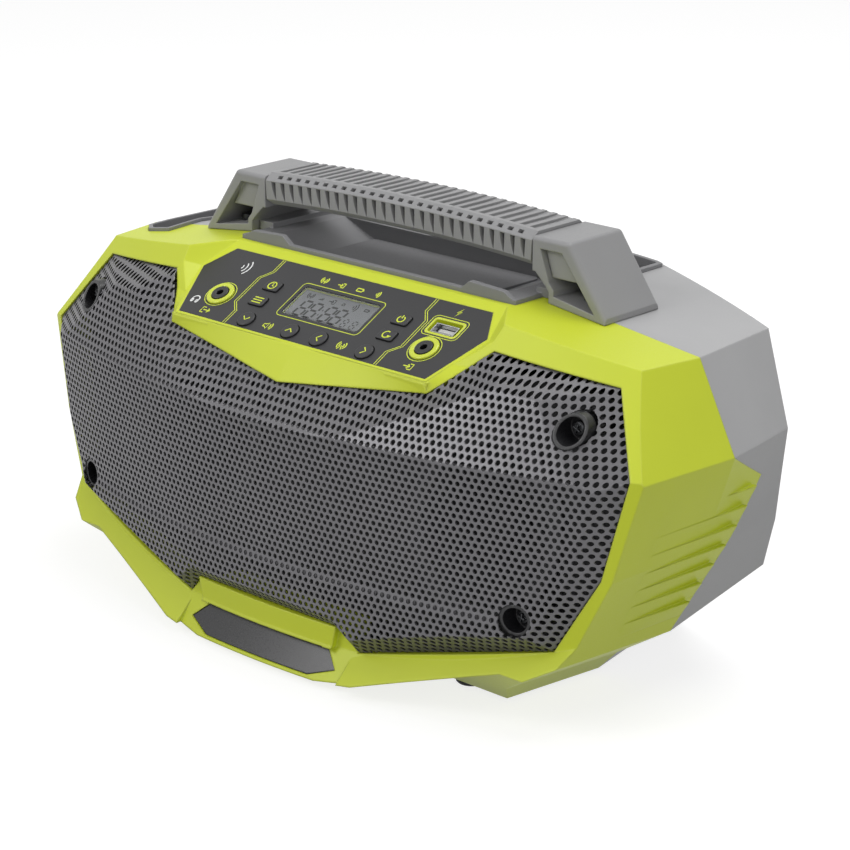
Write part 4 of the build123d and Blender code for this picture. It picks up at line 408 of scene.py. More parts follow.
# Soft-touch elastomer: matt, with a faint bloom on the ribs' tops, partly a painted highlight in
# its paler edge colour.
GRIP_TPE = Finish(
    "grip_elastomer_matt", "#8D8D8E", "#A4A4A5", 0.62, grain_mm=0.35, grain_depth_mm=0.02,
    edge_mm=0.5, sheen=0.15,
)
TRAY_ABS = Finish("mid_grey_abs_grained", "#7B7B7D", "#909092", 0.55, grain_mm=0.45, edge_mm=0.8)
# Ribbed rubber mat: dull, with fine pits from its mould.
MAT_RUBBER = Finish(
    "mat_rubber_pitted", "#747476", "#858587", 0.7, grain_mm=0.9, grain_depth_mm=0.08, edge_mm=0.5
)
# Powder-coated pressed steel: a fine orange peel that softens every glint.
GRILLE_STEEL = Finish(
    "powder_coated_steel", "#6A696C", "#858487", 0.38, metallic=0.35, grain_mm=0.3,
    grain_depth_mm=0.01, edge_mm=0.25, edge=0.55,
)
BLACK_ABS = Finish("black_abs_semi_gloss", "#18181A", "#38383A", 0.32, edge_mm=0.8)
# Blackened steel: dark but bare, so it picks up sharp small glints; more glints are painted along
# its edges in its pale edge colour.
BLACK_STEEL = Finish(
    "blackened_screw_steel", "#3A3B3D", "#77787A", 0.34, metallic=0.9, edge_mm=0.3
)
# Screen-printed polycarbonate film: flat charcoal with a soft satin.
PANEL_FILM = Finish(
    "charcoal_polycarbonate_film", "#1D1D1F", "#303033", 0.42, grain_mm=0.25,
    grain_depth_mm=0.004, edge_mm=0.4, edge=0.3,
)
WINDOW_ACRYLIC = Finish(
    "clear_acrylic_window", "#F4F6F5", "#FFFFFF", 0.03, roughness_swing=0.01, grain_mm=8.0,
    grain_depth_mm=0.001, cloud=0.0, edge_mm=0.3, edge=0.0, ior=1.49, transmission=1.0,
)
# Reflective liquid crystal behind a polariser: cool grey with a fine sparkle.
CRYSTAL_GREY = Finish(
    "liquid_crystal_reflector", "#828487", "#828487", 0.4, grain_mm=0.2, grain_depth_mm=0.003,
    cloud=0.02, edge=0.0,
)
KEY_RUBBER = Finish(
    "key_silicone_satin", "#212123", "#38383B", 0.45, grain_mm=0.3, grain_depth_mm=0.008,
    edge_mm=0.6,
)
RING_ABS = Finish("lime_abs_gloss", "#C8D42C", "#D5DE60", 0.25, coat=0.3, edge_mm=0.5)
ROLLED_STEEL = Finish(
    "rolled_steel_bright", "#B4B5B7", "#D2D3D4", 0.28, metallic=1.0, grain_mm=0.2,
    stretch=(1.0, 12.0, 1.0), edge_mm=0.2,
)
WHITE_NYLON = Finish("white_nylon", "#E4E4E0", "#F0F0EC", 0.42, edge_mm=0.3)
BADGE_ABS = Finish("black_abs_plate", "#222224", "#47474A", 0.3, edge_mm=0.7)
FOOT_RUBBER = Finish(
    "foot_rubber_matt", "#1B1B1C", "#303032", 0.75, grain_mm=0.8, grain_depth_mm=0.04
)
# Solder mask over copper: a green gloss with slow ripples.
SOLDER_MASK = Finish(
    "circuit_board_solder_mask", "#1F5A3A", "#2E7A50", 0.28, grain_mm=1.2, edge_mm=0.2
)
COMPONENT_EPOXY = Finish("component_epoxy", "#1A1A1B", "#2C2C2E", 0.55, edge_mm=0.3)
# Extruded aluminium: fine die lines along the fins.
EXTRUDED_ALUMINIUM = Finish(
    "extruded_aluminium", "#B2B4B6", "#D0D1D2", 0.35, metallic=1.0, grain_mm=0.3,
    stretch=(1.0, 1.0, 20.0), edge_mm=0.3,
)
LAMINATED_STEEL = Finish(
    "laminated_core_steel", "#4C4D50", "#6C6D70", 0.45, metallic=0.9, grain_mm=0.5,
    stretch=(20.0, 1.0, 20.0),
)
FERRITE = Finish("black_ferrite_magnet", "#29292B", "#3C3C3E", 0.6, grain_mm=0.8)
BASKET_STEEL = Finish("painted_basket_steel", "#3A3B3D", "#55565A", 0.45, metallic=0.2)
# Pressed paper pulp: soft fibres that swallow the light.
CONE_PAPER = Finish(
    "pressed_paper_cone", "#232426", "#2E2F31", 0.85, grain_mm=1.4, grain_depth_mm=0.1
)
BRASS = Finish("plated_brass", "#C9A45A", "#DDBD7C", 0.25, metallic=1.0, edge_mm=0.2)
BAFFLE_ABS = Finish("black_baffle_abs", "#242426", "#343436", 0.7, edge_mm=0.6)
# Screen ink: a thin raised film, flat in colour with a slight pinholed grain.
LIME_INK = Finish(
    "lime_screen_ink", "#CFDC3A", "#CFDC3A", grain_mm=0.15, grain_depth_mm=0.004, edge_mm=0.05,
    edge=0.0,
)
WHITE_INK = replace(LIME_INK, label="white_screen_ink", colour="#E9EAEA", edge_wear_and_highlight_colour="#E9EAEA")
CRYSTAL_DARK = replace(
    LIME_INK, label="liquid_crystal_segment", colour="#101214", edge_wear_and_highlight_colour="#101214",
    roughness=0.4, grain_mm=0.1, grain_depth_mm=0.002,
)

# Finish of each of the frame's material slots.
SLOT_FINISHES = {
    "lime_shell": LIME_ABS,
    "grey_shell": GREY_ABS,
    "grey_handle": HANDLE_ABS,
    "grip_rubber": GRIP_TPE,
    "tray_grey": TRAY_ABS,
    "mat_rubber": MAT_RUBBER,
    "grille_steel": GRILLE_STEEL,
    "well_black": BLACK_ABS,
    "screw_black": BLACK_STEEL,
    "overlay_black": PANEL_FILM,
    "window_clear": WINDOW_ACRYLIC,
    "display_grey": CRYSTAL_GREY,
    "key_black": KEY_RUBBER,
    "ring_lime": RING_ABS,
    # The jack's metal takes the black finish: painted shade for the dark inside of its lime ring.
    "jack_metal": BLACK_ABS,
    "socket_steel": ROLLED_STEEL,
    "tongue_plastic": WHITE_NYLON,
    "badge_black": BADGE_ABS,
    "foot_rubber": FOOT_RUBBER,
    "board_green": SOLDER_MASK,
    "part_black": COMPONENT_EPOXY,
    "sink_aluminium": EXTRUDED_ALUMINIUM,
    "core_steel": LAMINATED_STEEL,
    "magnet_ferrite": FERRITE,
    "basket_steel": BASKET_STEEL,
    "cone_paper": CONE_PAPER,
    "blade_brass": BRASS,
    "baffle_board": BAFFLE_ABS,
}


@dataclass(frozen=True)
class Dresser:
    """Gives every carried-over CAD part its finish, by material slot."""

    finishes: Mapping[str, Finish] = field(default_factory=lambda: SLOT_FINISHES)

    def dress(self) -> None:
        """Put each part's finish in its own material slots."""
        for name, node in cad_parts.items():
            for slot in node.material_slots:
                finish = self.finishes[slot.material.name.split(".")[0]]
                slot.material = finish.material()
                log.info("%s: %s", name, finish.label)


@dataclass
class Piece:
    """One new piece: its finish, slot, body and the CAD nodes it stands for."""

    name: str
    finish: Finish
    slot: str
    body: str = "root"
    stands_for: tuple[str, ...] = ()
    smooth_below: float = 32.0

    def place(self, form: Form) -> bpy.types.Object:
        """Make the object from a finished form in metres.

        Args:
            form: The form, which is freed.

        Returns:
            The object, riding on its body.
        """
        mesh = as_mesh(form, self.name)
        mesh.shade_smooth()
        mesh.set_sharp_from_angle(angle=math.radians(self.smooth_below))
        mesh.materials.append(self.finish.material())
        piece = put(self.name, mesh)
        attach(piece, self.body)
        if self.stands_for:
            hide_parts(*self.stands_for)
        log.info("%s: %d faces on %s", self.name, len(mesh.polygons), self.body)
        return piece


# -------------------------------------------------------------- speaker grille
@dataclass
class SpeakerGrille:
    """Perforated steel pillow: two sheets with real holes, and ribs behind its creases.

    The sheets are laid out flat in the X-Z plane and pressed back along Y on to the
    frame's grille, so the holes stay regular as seen from in front.

    Attributes:
        edge_gap: Gap between the sheet and the shell.
        wall_facing: How far the form has to face forwards to be punched.
        outline: Right half of the outline, from the chin round to the lip.
        probe_step: Step by which the bevel along an edge is followed.
        probe_span: First and last step of it.
        probe_shares: Where along an edge it is followed.
        middle: Height towards which points beside the form are pulled.
        pull: How far they are pulled.
        weld: Distance below which the cells' points are one.
        cut_snap: Distance within which a cut goes through a point.
        ribs: Height and half length of each rib.
    """

    pitch: float = 3.335
    row_pitch: float = 2.888
    hole_radius: float = 1.14
    hole_sides: int = 12
    thickness: float = 0.8
    edge_gap: float = 0.25
    wall_facing: float = 0.3
    half_columns: int = 55
    rows: tuple[float, float] = (16.0, 160.0)
    well_radius: float = 7.2
    wells: tuple[Point, Point] = SCREW_WELLS
    well_sides: int = 28
    creases: tuple[float, ...] = (49.0, 54.3, 118.0)
    outline: tuple[Point, ...] = (
        (0.0, 130.4), (80.6, 140.0), (100.0, 158.0), (160.0, 152.0), (180.0, 120.0),
        (169.3, 75.0), (150.0, 40.0), (54.4, 17.6), (44.5, 28.5),
    )
    probe_step: float = 0.1
    probe_span: tuple[int, int] = (4, 220)
    probe_shares: Point = (0.2, 0.8)
    middle: float = 80.0
    pull: float = 0.5
    weld: float = 0.02
    cut_snap: float = 0.01
    ribs: tuple[Point, ...] = ((116.4, 160.0), (51.2, 138.0))
    rib_steps: int = 64
    rib_height: float = 2.2
    rib_setback: float = 1.6
    rib_thickness: float = 1.2
    front: BVHTree = field(init=False, repr=False)

    def __post_init__(self) -> None:
        """Keep the frame's grille as the form to press on."""
        self.front = surface_of(["speaker_grille"])

    def ring_points(self) -> list[Point]:
        """Whole outline, clockwise from the middle of the chin."""
        left = [(-x, z) for x, z in self.outline[:0:-1]]
        return [*self.outline, *left]

    def inset_ring(self, inset: float) -> list[Point]:
        """Outline moved in by a gap.

        Args:
            inset: How far each edge moves in.

        Returns:
            The corners of the smaller outline.
        """
        points = self.ring_points()
        moved = []
        for i, point in enumerate(points):
            here = Vector(point)
            into = (here - Vector(points[i - 1])).normalized()
            out = (Vector(points[(i + 1) % len(points)]) - here).normalized()
            sides = [Vector((d.y, -d.x)) for d in (into, out)]
            middle = (sides[0] + sides[1]).normalized()
            moved.append(tuple(here + middle * inset / middle.dot(sides[0])))
        return moved

    def depth(self, x: float, z: float) -> tuple[float, Vector] | None:
        """Where the form's front is at one point, in millimetres.

        Args:
            x: Distance to the right.
            z: Height.

        Returns:
            Its Y and the way it faces, or None beside the form.
        """
        hit, normal = cast_back(self.front, x, z)
        return None if hit is None else (hit.y / MM, normal)

    def inside(self, x: float, z: float, ring_points: Sequence[Point]) -> bool:
        """Tell whether a point lies within an outline, by counting crossings.

        Args:
            x: Distance to the right.
            z: Height.
            ring_points: Corners of the outline.

        Returns:
            True if it does.
        """
        crossings = 0
        for (ax, az), (bx, bz) in sides_of(ring_points):
            if (az > z) != (bz > z) and x < ax + (z - az) * (bx - ax) / (bz - az):
                crossings += 1
        return crossings % 2 == 1

    def flat_centre(self, face: bmesh.types.BMFace) -> Point:
        """Middle of a face as seen from in front, in millimetres."""
        centre = face.calc_center_median() / MM
        return (centre.x, centre.z)

    def cell(self, holed: bool) -> bpy.types.Mesh:
        """One six-sided cell, with or without its hole.

        Args:
            holed: Whether the cell is punched.

        Returns:
            The cell's mesh, flat in X-Z about the origin.
        """
        form = bmesh.new()
        bmesh.ops.create_circle(
            form, segments=6, radius=self.pitch / math.sqrt(3) * MM, cap_ends=False
        )
        bmesh.ops.subdivide_edges(form, edges=form.edges[:], cuts=1)
        if holed:
            bmesh.ops.create_circle(
                form, segments=self.hole_sides, radius=self.hole_radius * MM, cap_ends=False
            )
            bmesh.ops.bridge_loops(form, edges=form.edges[:])
        else:
            bmesh.ops.contextual_create(form, geom=form.edges[:])
            bmesh.ops.poke(form, faces=form.faces[:])
        stand_up(form, form.verts[:])
        return as_mesh(form, "cell")

    def sheet(self, side: int) -> Form:
        """All the cells of one half, flat, before trimming.

        Args:
            side: -1 for the left half, 1 for the right.

        Returns:
            The flat half.
        """
        ring_points = self.ring_points()
        stamps = {holed: self.cell(holed) for holed in (True, False)}
        at = {holed: Vector((0, 0, 0)) for holed in stamps}
        form = bmesh.new()
        low, high = self.rows
        around = (-self.pitch, 0, self.pitch)
        for row in range(math.floor(low / self.row_pitch), math.ceil(high / self.row_pitch)):
            z = row * self.row_pitch
            offset = 0.5 if row % 2 else 0.0 if side > 0 else 1.0
            strip = bmesh.new()
            for column in range(self.half_columns):
                x = side * (column + offset) * self.pitch
                if not any(
                    self.inside(x + dx, z + dz, ring_points) for dx in around for dz in around
                ):
                    continue
                found = self.depth(x, z)
                holed = found is None or abs(found[1].y) >= self.wall_facing
                target = Vector((x, 0, z)) * MM
                stamps[holed].transform(Matrix.Translation(target - at[holed]))
                at[holed] = target
                strip.from_mesh(stamps[holed])
            form.from_mesh(as_mesh(strip, "strip"))
        bmesh.ops.remove_doubles(form, verts=form.verts[:], dist=self.weld * MM)
        return form

    def cut(
        self,
        form: Form,
        a: Point,
        b: Point,
        faces: Iterable[bmesh.types.BMFace] | None = None,
    ) -> list[bmesh.types.BMFace]:
        """Cut the flat sheet along a line from point to point, keeping both sides.

        Args:
            form: The flat sheet.
            a: Start of the line.
            b: Its end.
            faces: The faces that may be cut, or None for all.

        Returns:
            Those faces as they are after the cut.
        """
        start, end = (Vector((x, 0, z)) * MM for x, z in (a, b))
        along = end - start
        length = along.length
        along.normalize()
        across = Vector((along.z, 0, -along.x))
        reach = self.pitch * MM
        chosen, kept = [], []
        for face in form.faces if faces is None else faces:
            offset = face.calc_center_median() - start
            beside = abs(offset.dot(across)) < reach
            near = beside and -reach < offset.dot(along) < length + reach
            (chosen if near else kept).append(face)
        geom = dict.fromkeys(i for face in chosen for i in (*face.verts, *face.edges, face))
        cut = bmesh.ops.bisect_plane(
            form, geom=list(geom), dist=self.cut_snap * MM, plane_co=start, plane_no=across
        )
        return kept + [item for item in cut["geom"] if isinstance(item, bmesh.types.BMFace)]

    def crease_points(self, a: Point, b: Point) -> list[Point]:
        """Where the bevel along one edge of the outline meets the pillow.

        Args:
            a: Start of the edge.
            b: Its end.

        Returns:
            Two points of that crease, or none where no bevel is found.
        """
        start, end = Vector(a), Vector(b)
        along = (end - start).normalized()
        inward = Vector((along.y, -along.x))
        found = []
        first, last = self.probe_span
        step = self.probe_step
        for share in self.probe_shares:
            foot = start.lerp(end, share)
            levels = []
            for i in range(first, last):
                spot = foot + inward * i * step
                hit = self.depth(spot.x, spot.y)
                if hit is None:
                    break
                levels.append(hit[0])
            rises = [(p - q) / step for p, q in zip(levels, levels[1:])]
            if not rises:
                return []
            flat = next((i for i, r in enumerate(rises) if r < rises[0] / 2), None)
            if flat is None:
                return []
            spot = foot + inward * (first + flat) * step
            found.append((spot.x, spot.y))
        return found

    def trim(self, form: Form, side: int) -> None:
        """Cut the creases, the outline and the round wells into a flat half.

        Args:
            form: The flat half.
            side: -1 for the left half, 1 for the right.
        """
        rim = self.inset_ring(self.edge_gap)
        reach = max(x for x, _ in self.outline)
        for height in self.creases:
            self.cut(form, (-reach, height), (reach, height))
        for a, b in sides_of(self.ring_points()):
            crease = self.crease_points(a, b)
            if len(crease) == 2:
                self.cut(form, *crease)
        for a, b in sides_of(rim):
            self.cut(form, a, b)
        outside = [f for f in form.faces if not self.inside(*self.flat_centre(f), rim)]
        bmesh.ops.delete(form, geom=outside, context="FACES")
        for x, z in self.wells:
            self.cut_well(form, (side * x, z))

    def cut_well(self, form: Form, centre: Point) -> None:
        """Cut one round opening through the flat sheet.

        Args:
            form: The flat sheet.
            centre: Middle of the opening.
        """
        middle = Vector((centre[0], 0, centre[1])) * MM
        reach = (self.well_radius + 2 * self.pitch) * MM
        near = [f for f in form.faces if (f.calc_center_median() - middle).length < reach]
        corners = arc(centre, self.well_radius, 0, 360, self.well_sides)
        for a, b in zip(corners, corners[1:]):
            near = self.cut(form, a, b, near)
        inner = [f for f in near if self.inside(*self.flat_centre(f), corners[:-1])]
        bmesh.ops.delete(form, geom=inner, context="FACES")

    def press(self, form: Form) -> None:
        """Move the flat sheet back on to the pillow, then give it its thickness.

        Args:
            form: The flat sheet.
        """
        for vert in form.verts:
            x, z = vert.co.x / MM, vert.co.z / MM
            found = self.depth(x, z)
            if found is None:
                rise = z - self.middle
                share = 1 - self.pull / math.hypot(x, rise)
                found = self.depth(x * share, self.middle + rise * share)
            vert.co.y = found[0] * MM if found else 0.0
        bmesh.ops.recalc_face_normals(form, faces=form.faces[:])
        if sum(face.normal.y for face in form.faces) > 0:
            bmesh.ops.reverse_faces(form, faces=form.faces[:])
        back = bmesh.ops.extrude_face_region(form, geom=form.faces[:], use_keep_orig=True)
        moved = [item for item in back["geom"] if isinstance(item, bmesh.types.BMVert)]
        bmesh.ops.translate(form, vec=(0, self.thickness * MM, 0), verts=moved)
        bmesh.ops.recalc_face_normals(form, faces=form.faces[:])

    def rib_strips(self) -> Form:
        """Stiffening ribs behind the two creases, seen through the holes.

        Returns:
            The ribs in one form.
        """
        form = bmesh.new()
        for height, reach in self.ribs:
            strip = bmesh.ops.create_grid(form, x_segments=self.rib_steps, y_segments=1, size=0.5)
            verts = strip["verts"]
            stand_up(form, verts)
            bmesh.ops.scale(form, vec=(2 * reach * MM, 1, self.rib_height * MM), verts=verts)
            for vert in verts:
                vert.co.z += height * MM
                found = self.depth(vert.co.x / MM, vert.co.z / MM)
                level = found[0] if found else 0.0
                vert.co.y = (level + self.thickness + self.rib_setback) * MM
        bmesh.ops.solidify(form, geom=form.faces[:], thickness=self.rib_thickness * MM)
        bmesh.ops.recalc_face_normals(form, faces=form.faces[:])
        return form

    def build(self) -> None:
        """Make both sheets and the ribs."""
        for side, word in ((-1, "left"), (1, "right")):
            form = self.sheet(side)
            self.trim(form, side)
            self.press(form)
            Piece(
                f"{word}_grille_sheet",
                GRILLE_STEEL,
                "grille_steel",
                stands_for=("speaker_grille",),
                smooth_below=20.0,
            ).place(form)
        Piece("grille_ribs", GRILLE_STEEL, "grille_steel").place(self.rib_strips())


# --------------------------------------------------------------- control panel
class Symbol(Enum):
    """Plain marks, as strokes in millimetres about their own middle."""

    DOWN = ((((-1.5, 0.75), (0.0, -0.75), (1.5, 0.75)), False),)
    UP = ((((-1.5, -0.75), (0.0, 0.75), (1.5, -0.75)), False),)
    LEFT = ((((0.75, 1.5), (-0.75, 0.0), (0.75, -1.5)), False),)
    RIGHT = ((((-0.75, 1.5), (0.75, 0.0), (-0.75, -1.5)), False),)
    POWER = ((arc((0, 0), 1.45, 125, 415), False), (((0, 0.3), (0, 1.9)), False))
    CLOCK = (ring((0, 0), 1.7), (((0, 1.1), (0, 0), (0.8, -0.4)), False))
    LIST = (
        (((-2.2, 1.2), (2.2, 1.2)), False),
        (((-2.2, 0.0), (2.2, 0.0)), False),
        (((-2.2, -1.2), (2.2, -1.2)), False),
    )
    CYCLE = ((arc((0, 0), 1.5, 60, 350), False), (((0.8, -0.3), (1.5, -1.1), (2.2, -0.3)), False))
    LOUDER = (
        (((-2.2, -0.7), (-1.2, -0.7), (0, -1.6), (0, 1.6), (-1.2, 0.7), (-2.2, 0.7)), True),
        (arc((0, 0), 1.4, -45, 45, 8), False),
        (arc((0, 0), 2.4, -45, 45, 10), False),
    )
    MAST = (
        (((-1.0, -1.7), (0, 0.4), (1.0, -1.7)), False),
        (arc((0, 0.6), 1.1, -50, 50, 8), False),
        (arc((0, 0.6), 1.1, 130, 230, 8), False),
        (arc((0, 0.6), 2.1, -50, 50, 10), False),
        (arc((0, 0.6), 2.1, 130, 230, 10), False),
    )
    EARPHONES = (
        (arc((0, -0.2), 1.6, 0, 180, 14), False),
        (((-1.6, -0.2), (-1.6, -1.4)), False),
        (((1.6, -0.2), (1.6, -1.4)), False),
        (rounded_box((-1.15, -1.1), (0.35, 0.6), 0.2)),
        (rounded_box((1.15, -1.1), (0.35, 0.6), 0.2)),
    )
    ARROW_OUT = (
        (((-0.4, 1.4), (-2.0, 1.4), (-2.0, -1.4), (-0.4, -1.4)), False),
        (((-1.0, 0.0), (2.2, 0.0)), False),
        (((1.1, 1.0), (2.2, 0.0), (1.1, -1.0)), False),
    )
    ARROW_IN = (
        (((0.4, 1.4), (2.0, 1.4), (2.0, -1.4), (0.4, -1.4)), False),
        (((-2.2, 0.0), (0.8, 0.0)), False),
        (((-0.3, 1.0), (0.8, 0.0), (-0.3, -1.0)), False),
    )
    BOLT = (
        (((0.5, 2.0), (-0.9, -0.2), (0.1, -0.2), (-0.5, -2.0), (0.9, 0.3), (-0.1, 0.3)), True),
    )
    WAVES = (
        (arc((-2.4, 0), 1.0, -45, 45, 6), False),
        (arc((-2.4, 0), 2.4, -45, 45, 9), False),
        (arc((-2.4, 0), 3.8, -45, 45, 12), False),
    )
    CELL = (rounded_box((0, 0), (1.3, 0.7), 0.2), (((1.7, -0.3), (1.7, 0.3)), False))
    BARS = (
        (((-1.2, -0.8), (-1.2, -0.3)), False),
        (((-0.4, -0.8), (-0.4, 0.1)), False),
        (((0.4, -0.8), (0.4, 0.5)), False),
        (((1.2, -0.8), (1.2, 0.9)), False),
    )
    BELL = ((((-1.0, -0.6), (-0.7, 0.4), (0, 0.9), (0.7, 0.4), (1.0, -0.6)), True),)

    def strokes(self, at: Point, size: float = 1.0) -> list[Stroke]:
        """The mark's strokes, moved to a place.

        Args:
            at: Where its middle goes.
            size: Its size against the drawn one.

        Returns:
            The strokes.
        """
        return [
            ([(at[0] + size * x, at[1] + size * y) for x, y in points], closed)
            for points, closed in self.value
        ]


@dataclass(frozen=True)
class PanelPlane:
    """The tilted plane of the control panel: X along it and Y up its slope.

    Attributes:
        drop: Height from which strokes are laid on what is under them.
        weld: Distance below which points of a stroke are one.
    """

    angle: float = 27.9
    front_y: float = -62.0
    front_z: float = 145.45
    drop: float = 5.0
    weld: float = 0.001

    def matrix(self) -> Matrix:
        """Turns panel millimetres into metres in the frame."""
        return (
            Matrix.Translation(Vector((0, self.front_y, self.front_z)) * MM)
            @ Matrix.Rotation(math.radians(self.angle), 4, "X")
            @ Matrix.Scale(MM, 4)
        )

    def print_form(
        self, strokes: Iterable[Stroke], width: float, height: float, under: BVHTree
    ) -> Form:
        """Lay strokes on what is under them, as a thin raised film.

        Args:
            strokes: Lines in panel millimetres.
            width: Width of each line.
            height: How far the film stands up.
            under: Surface that carries the film.

        Returns:
            The film, in metres.
        """
        curve = bpy.data.curves.new("strokes", "CURVE")
        curve.dimensions = "3D"
        curve.bevel_depth = width / 2
        curve.bevel_resolution = 1
        curve.use_fill_caps = True
        for points, closed in strokes:
            spline = curve.splines.new("POLY")
            spline.points.add(len(points) - 1)
            for target, (x, y) in zip(spline.points, points):
                target.co = (x, y, 0, 1)
            spline.use_cyclic_u = closed
        drawn = bpy.data.objects.new("strokes", curve)
        mesh = bpy.data.meshes.new_from_object(drawn)
        form = bmesh.new()
        form.from_mesh(mesh)
        bpy.data.objects.remove(drawn)
        to_frame = self.matrix()
        up = (to_frame.to_3x3() @ Vector((0, 0, 1))).normalized()
        for vert in form.verts:
            rise = vert.co.z / (width / 2) * height
            spot = to_frame @ Vector((vert.co.x, vert.co.y, 0))
            hit = under.ray_cast(spot + up * self.drop * MM, -up)[0]
            vert.co = (hit if hit is not None else spot) + up * rise * MM
        bmesh.ops.remove_doubles(form, verts=form.verts[:], dist=self.weld * MM)
        bmesh.ops.recalc_face_normals(form, faces=form.faces[:])
        return form


@dataclass
class ControlPanel:
    """Printed lines and marks on the film and on the keys.

    Attributes:
        key_marks: For each key its name, and its mark's place and kind.
        window_line: Middle, half size and corner radius of the line round the window.
        usb_line: The same for the line round the service socket.
    """

    plane: PanelPlane = field(default_factory=PanelPlane)
    line: float = 0.42
    mark: float = 0.66
    key_mark_size: float = 1.3
    film: float = 0.07
    seam: tuple[Point, ...] = (
        (47.6, 45.4), (47.6, 37.0), (52.0, 31.5), (52.0, 14.0), (47.2, 9.0), (47.2, 0.2)
    )
    seam_gap: float = 1.35
    key_marks: tuple[tuple[str, Point, Symbol], ...] = (
        ("volume_down", (-37.4, 5.4), Symbol.DOWN),
        ("volume_up", (-9.1, 5.4), Symbol.UP),
        ("scan_down", (9.1, 5.4), Symbol.LEFT),
        ("scan_up", (37.4, 5.4), Symbol.RIGHT),
        ("clock", (-40.7, 28.2), Symbol.CLOCK),
        ("preset", (-40.7, 17.6), Symbol.LIST),
        ("power", (40.7, 28.2), Symbol.POWER),
        ("mode", (40.7, 17.6), Symbol.CYCLE),
    )
    label_marks: tuple[tuple[Symbol, Point, float], ...] = (
        (Symbol.LOUDER, (-23.4, 5.2), 1.15),
        (Symbol.MAST, (23.2, 5.0), 1.15),
        (Symbol.ARROW_OUT, (-64.0, 4.4), 1.2),
        (Symbol.ARROW_IN, (64.4, 4.2), 1.2),
        (Symbol.BOLT, (64.9, 40.8), 1.25),
        (Symbol.MAST, (-17.0, 39.3), 0.95),
        (Symbol.ARROW_IN, (-6.0, 39.3), 0.95),
        (Symbol.CELL, (5.6, 39.3), 1.3),
        (Symbol.WAVES, (17.0, 39.3), 0.7),
    )
    white_marks: tuple[tuple[Symbol, Point, float], ...] = (
        (Symbol.WAVES, (-65.0, 35.4), 1.6), (Symbol.EARPHONES, (-75.2, 9.6), 1.3)
    )
    window_line: tuple[Point, Point, float] = ((0.0, 24.35), (25.9, 11.3), 2.4)
    usb_line: tuple[Point, Point, float] = ((64.9, 30.4), (10.3, 6.3), 2.6)
    jack_points: tuple[Point, Point] = ((-64.4, 16.0), (64.4, 16.0))
    jack_line_radius: float = 8.0

    def seam_lines(self) -> list[Stroke]:
        """The double stepped line at each side.

        Returns:
            Four open strokes.
        """
        lines: list[Stroke] = []
        for side in (-1, 1):
            for shift in (0.0, self.seam_gap):
                lines.append(([(side * (x + shift), y) for x, y in self.seam], False))
        return lines

    def build(self) -> None:
        """Print the film and the keys."""
        film = surface_of(["panel_overlay"])
        lines = [*self.seam_lines(), rounded_box(*self.window_line), rounded_box(*self.usb_line)]
        lines += [ring(at, self.jack_line_radius) for at in self.jack_points]
        Piece("panel_lines", LIME_INK, "ring_lime").place(
            self.plane.print_form(lines, self.line, self.film, film)
        )
        for name, ink, slot, marks in (
            ("panel_labels", LIME_INK, "ring_lime", self.label_marks),
            ("panel_white_marks", WHITE_INK, "tongue_plastic", self.white_marks),
        ):
            strokes = [s for mark, at, size in marks for s in mark.strokes(at, size)]
            Piece(name, ink, slot).place(
                self.plane.print_form(strokes, self.mark, self.film, film)
            )
        for name, at, mark in self.key_marks:
            strokes, key = mark.strokes(at, self.key_mark_size), surface_of([f"{name}_key"])
            form = self.plane.print_form(strokes, self.mark, self.film, key)
            Piece(f"{name}_mark", LIME_INK, "ring_lime", body=f"{name}_button").place(form)


@dataclass
class Display:
    """Segments of the liquid-crystal display, behind its window.

    Attributes:
        fine_share: Width of a small segment against a big one.
        big_gap: Space between a big digit's segments, against the stroke.
        colon_dot: Half width of the colon's dots, and their distance from its middle.
        small_gap: The same as big_gap for a small digit.
    """

    plane: PanelPlane = field(default_factory=PanelPlane)
    slant: float = 0.13
    stroke: float = 1.2
    fine_share: float = 0.5
    film: float = 0.05
    big: Point = (5.0, 9.6)
    big_gap: float = 0.6
    big_places: tuple[float, ...] = (-15.4, -8.8, 0.2, 6.8)
    big_row: float = 21.3
    colon: float = -4.3
    colon_dot: Point = (0.25, 1.6)
    small: Point = (2.6, 5.0)
    small_gap: float = 0.45
    small_places: tuple[float, ...] = (12.9, 18.4)
    small_row: float = 18.9
    top_row: float = 29.2
    top_size: float = 0.9
    top_marks: tuple[tuple[Symbol, float], ...] = (
        (Symbol.MAST, -17.5),
        (Symbol.BARS, -10.5),
        (Symbol.ARROW_IN, -3.5),
        (Symbol.BELL, 3.5),
        (Symbol.WAVES, 11.0),
        (Symbol.CELL, 18.0),
    )

    def digit(self, at: Point, size: Point, gap: float) -> list[Stroke]:
        """Seven slanted segments.

        Args:
            at: Middle of the digit.
            size: Its width and height.
            gap: Space between neighbouring segments.

        Returns:
            The seven strokes.
        """
        half, rise = size[0] / 2, size[1] / 2
        lines = [((-half + gap, y), (half - gap, y)) for y in (-rise, 0.0, rise)]
        lines += [((x, y + gap), (x, y + rise - gap)) for x in (-half, half) for y in (-rise, 0.0)]
        return [
            ([(at[0] + x + self.slant * y, at[1] + y) for x, y in line], False) for line in lines
        ]

    def build(self) -> None:
        """Lay the segments on the display's face."""
        under = surface_of(["display_module"])
        strokes: list[Stroke] = []
        for x in self.big_places:
            strokes += self.digit((x, self.big_row), self.big, self.stroke * self.big_gap)
        half, rise = self.colon_dot
        for y in (-rise, rise):
            x, level = self.colon + self.slant * y, self.big_row + y
            strokes.append((((x - half, level), (x + half, level)), False))
        Piece("display_digits", CRYSTAL_DARK, "part_black").place(
            self.plane.print_form(strokes, self.stroke, self.film, under)
        )
        fine: list[Stroke] = []
        for x in self.small_places:
            fine += self.digit((x, self.small_row), self.small, self.stroke * self.small_gap)
        for mark, x in self.top_marks:
            fine += mark.strokes((x, self.top_row), self.top_size)
        Piece("display_marks", CRYSTAL_DARK, "part_black").place(
            self.plane.print_form(fine, self.stroke * self.fine_share, self.film, under)
        )


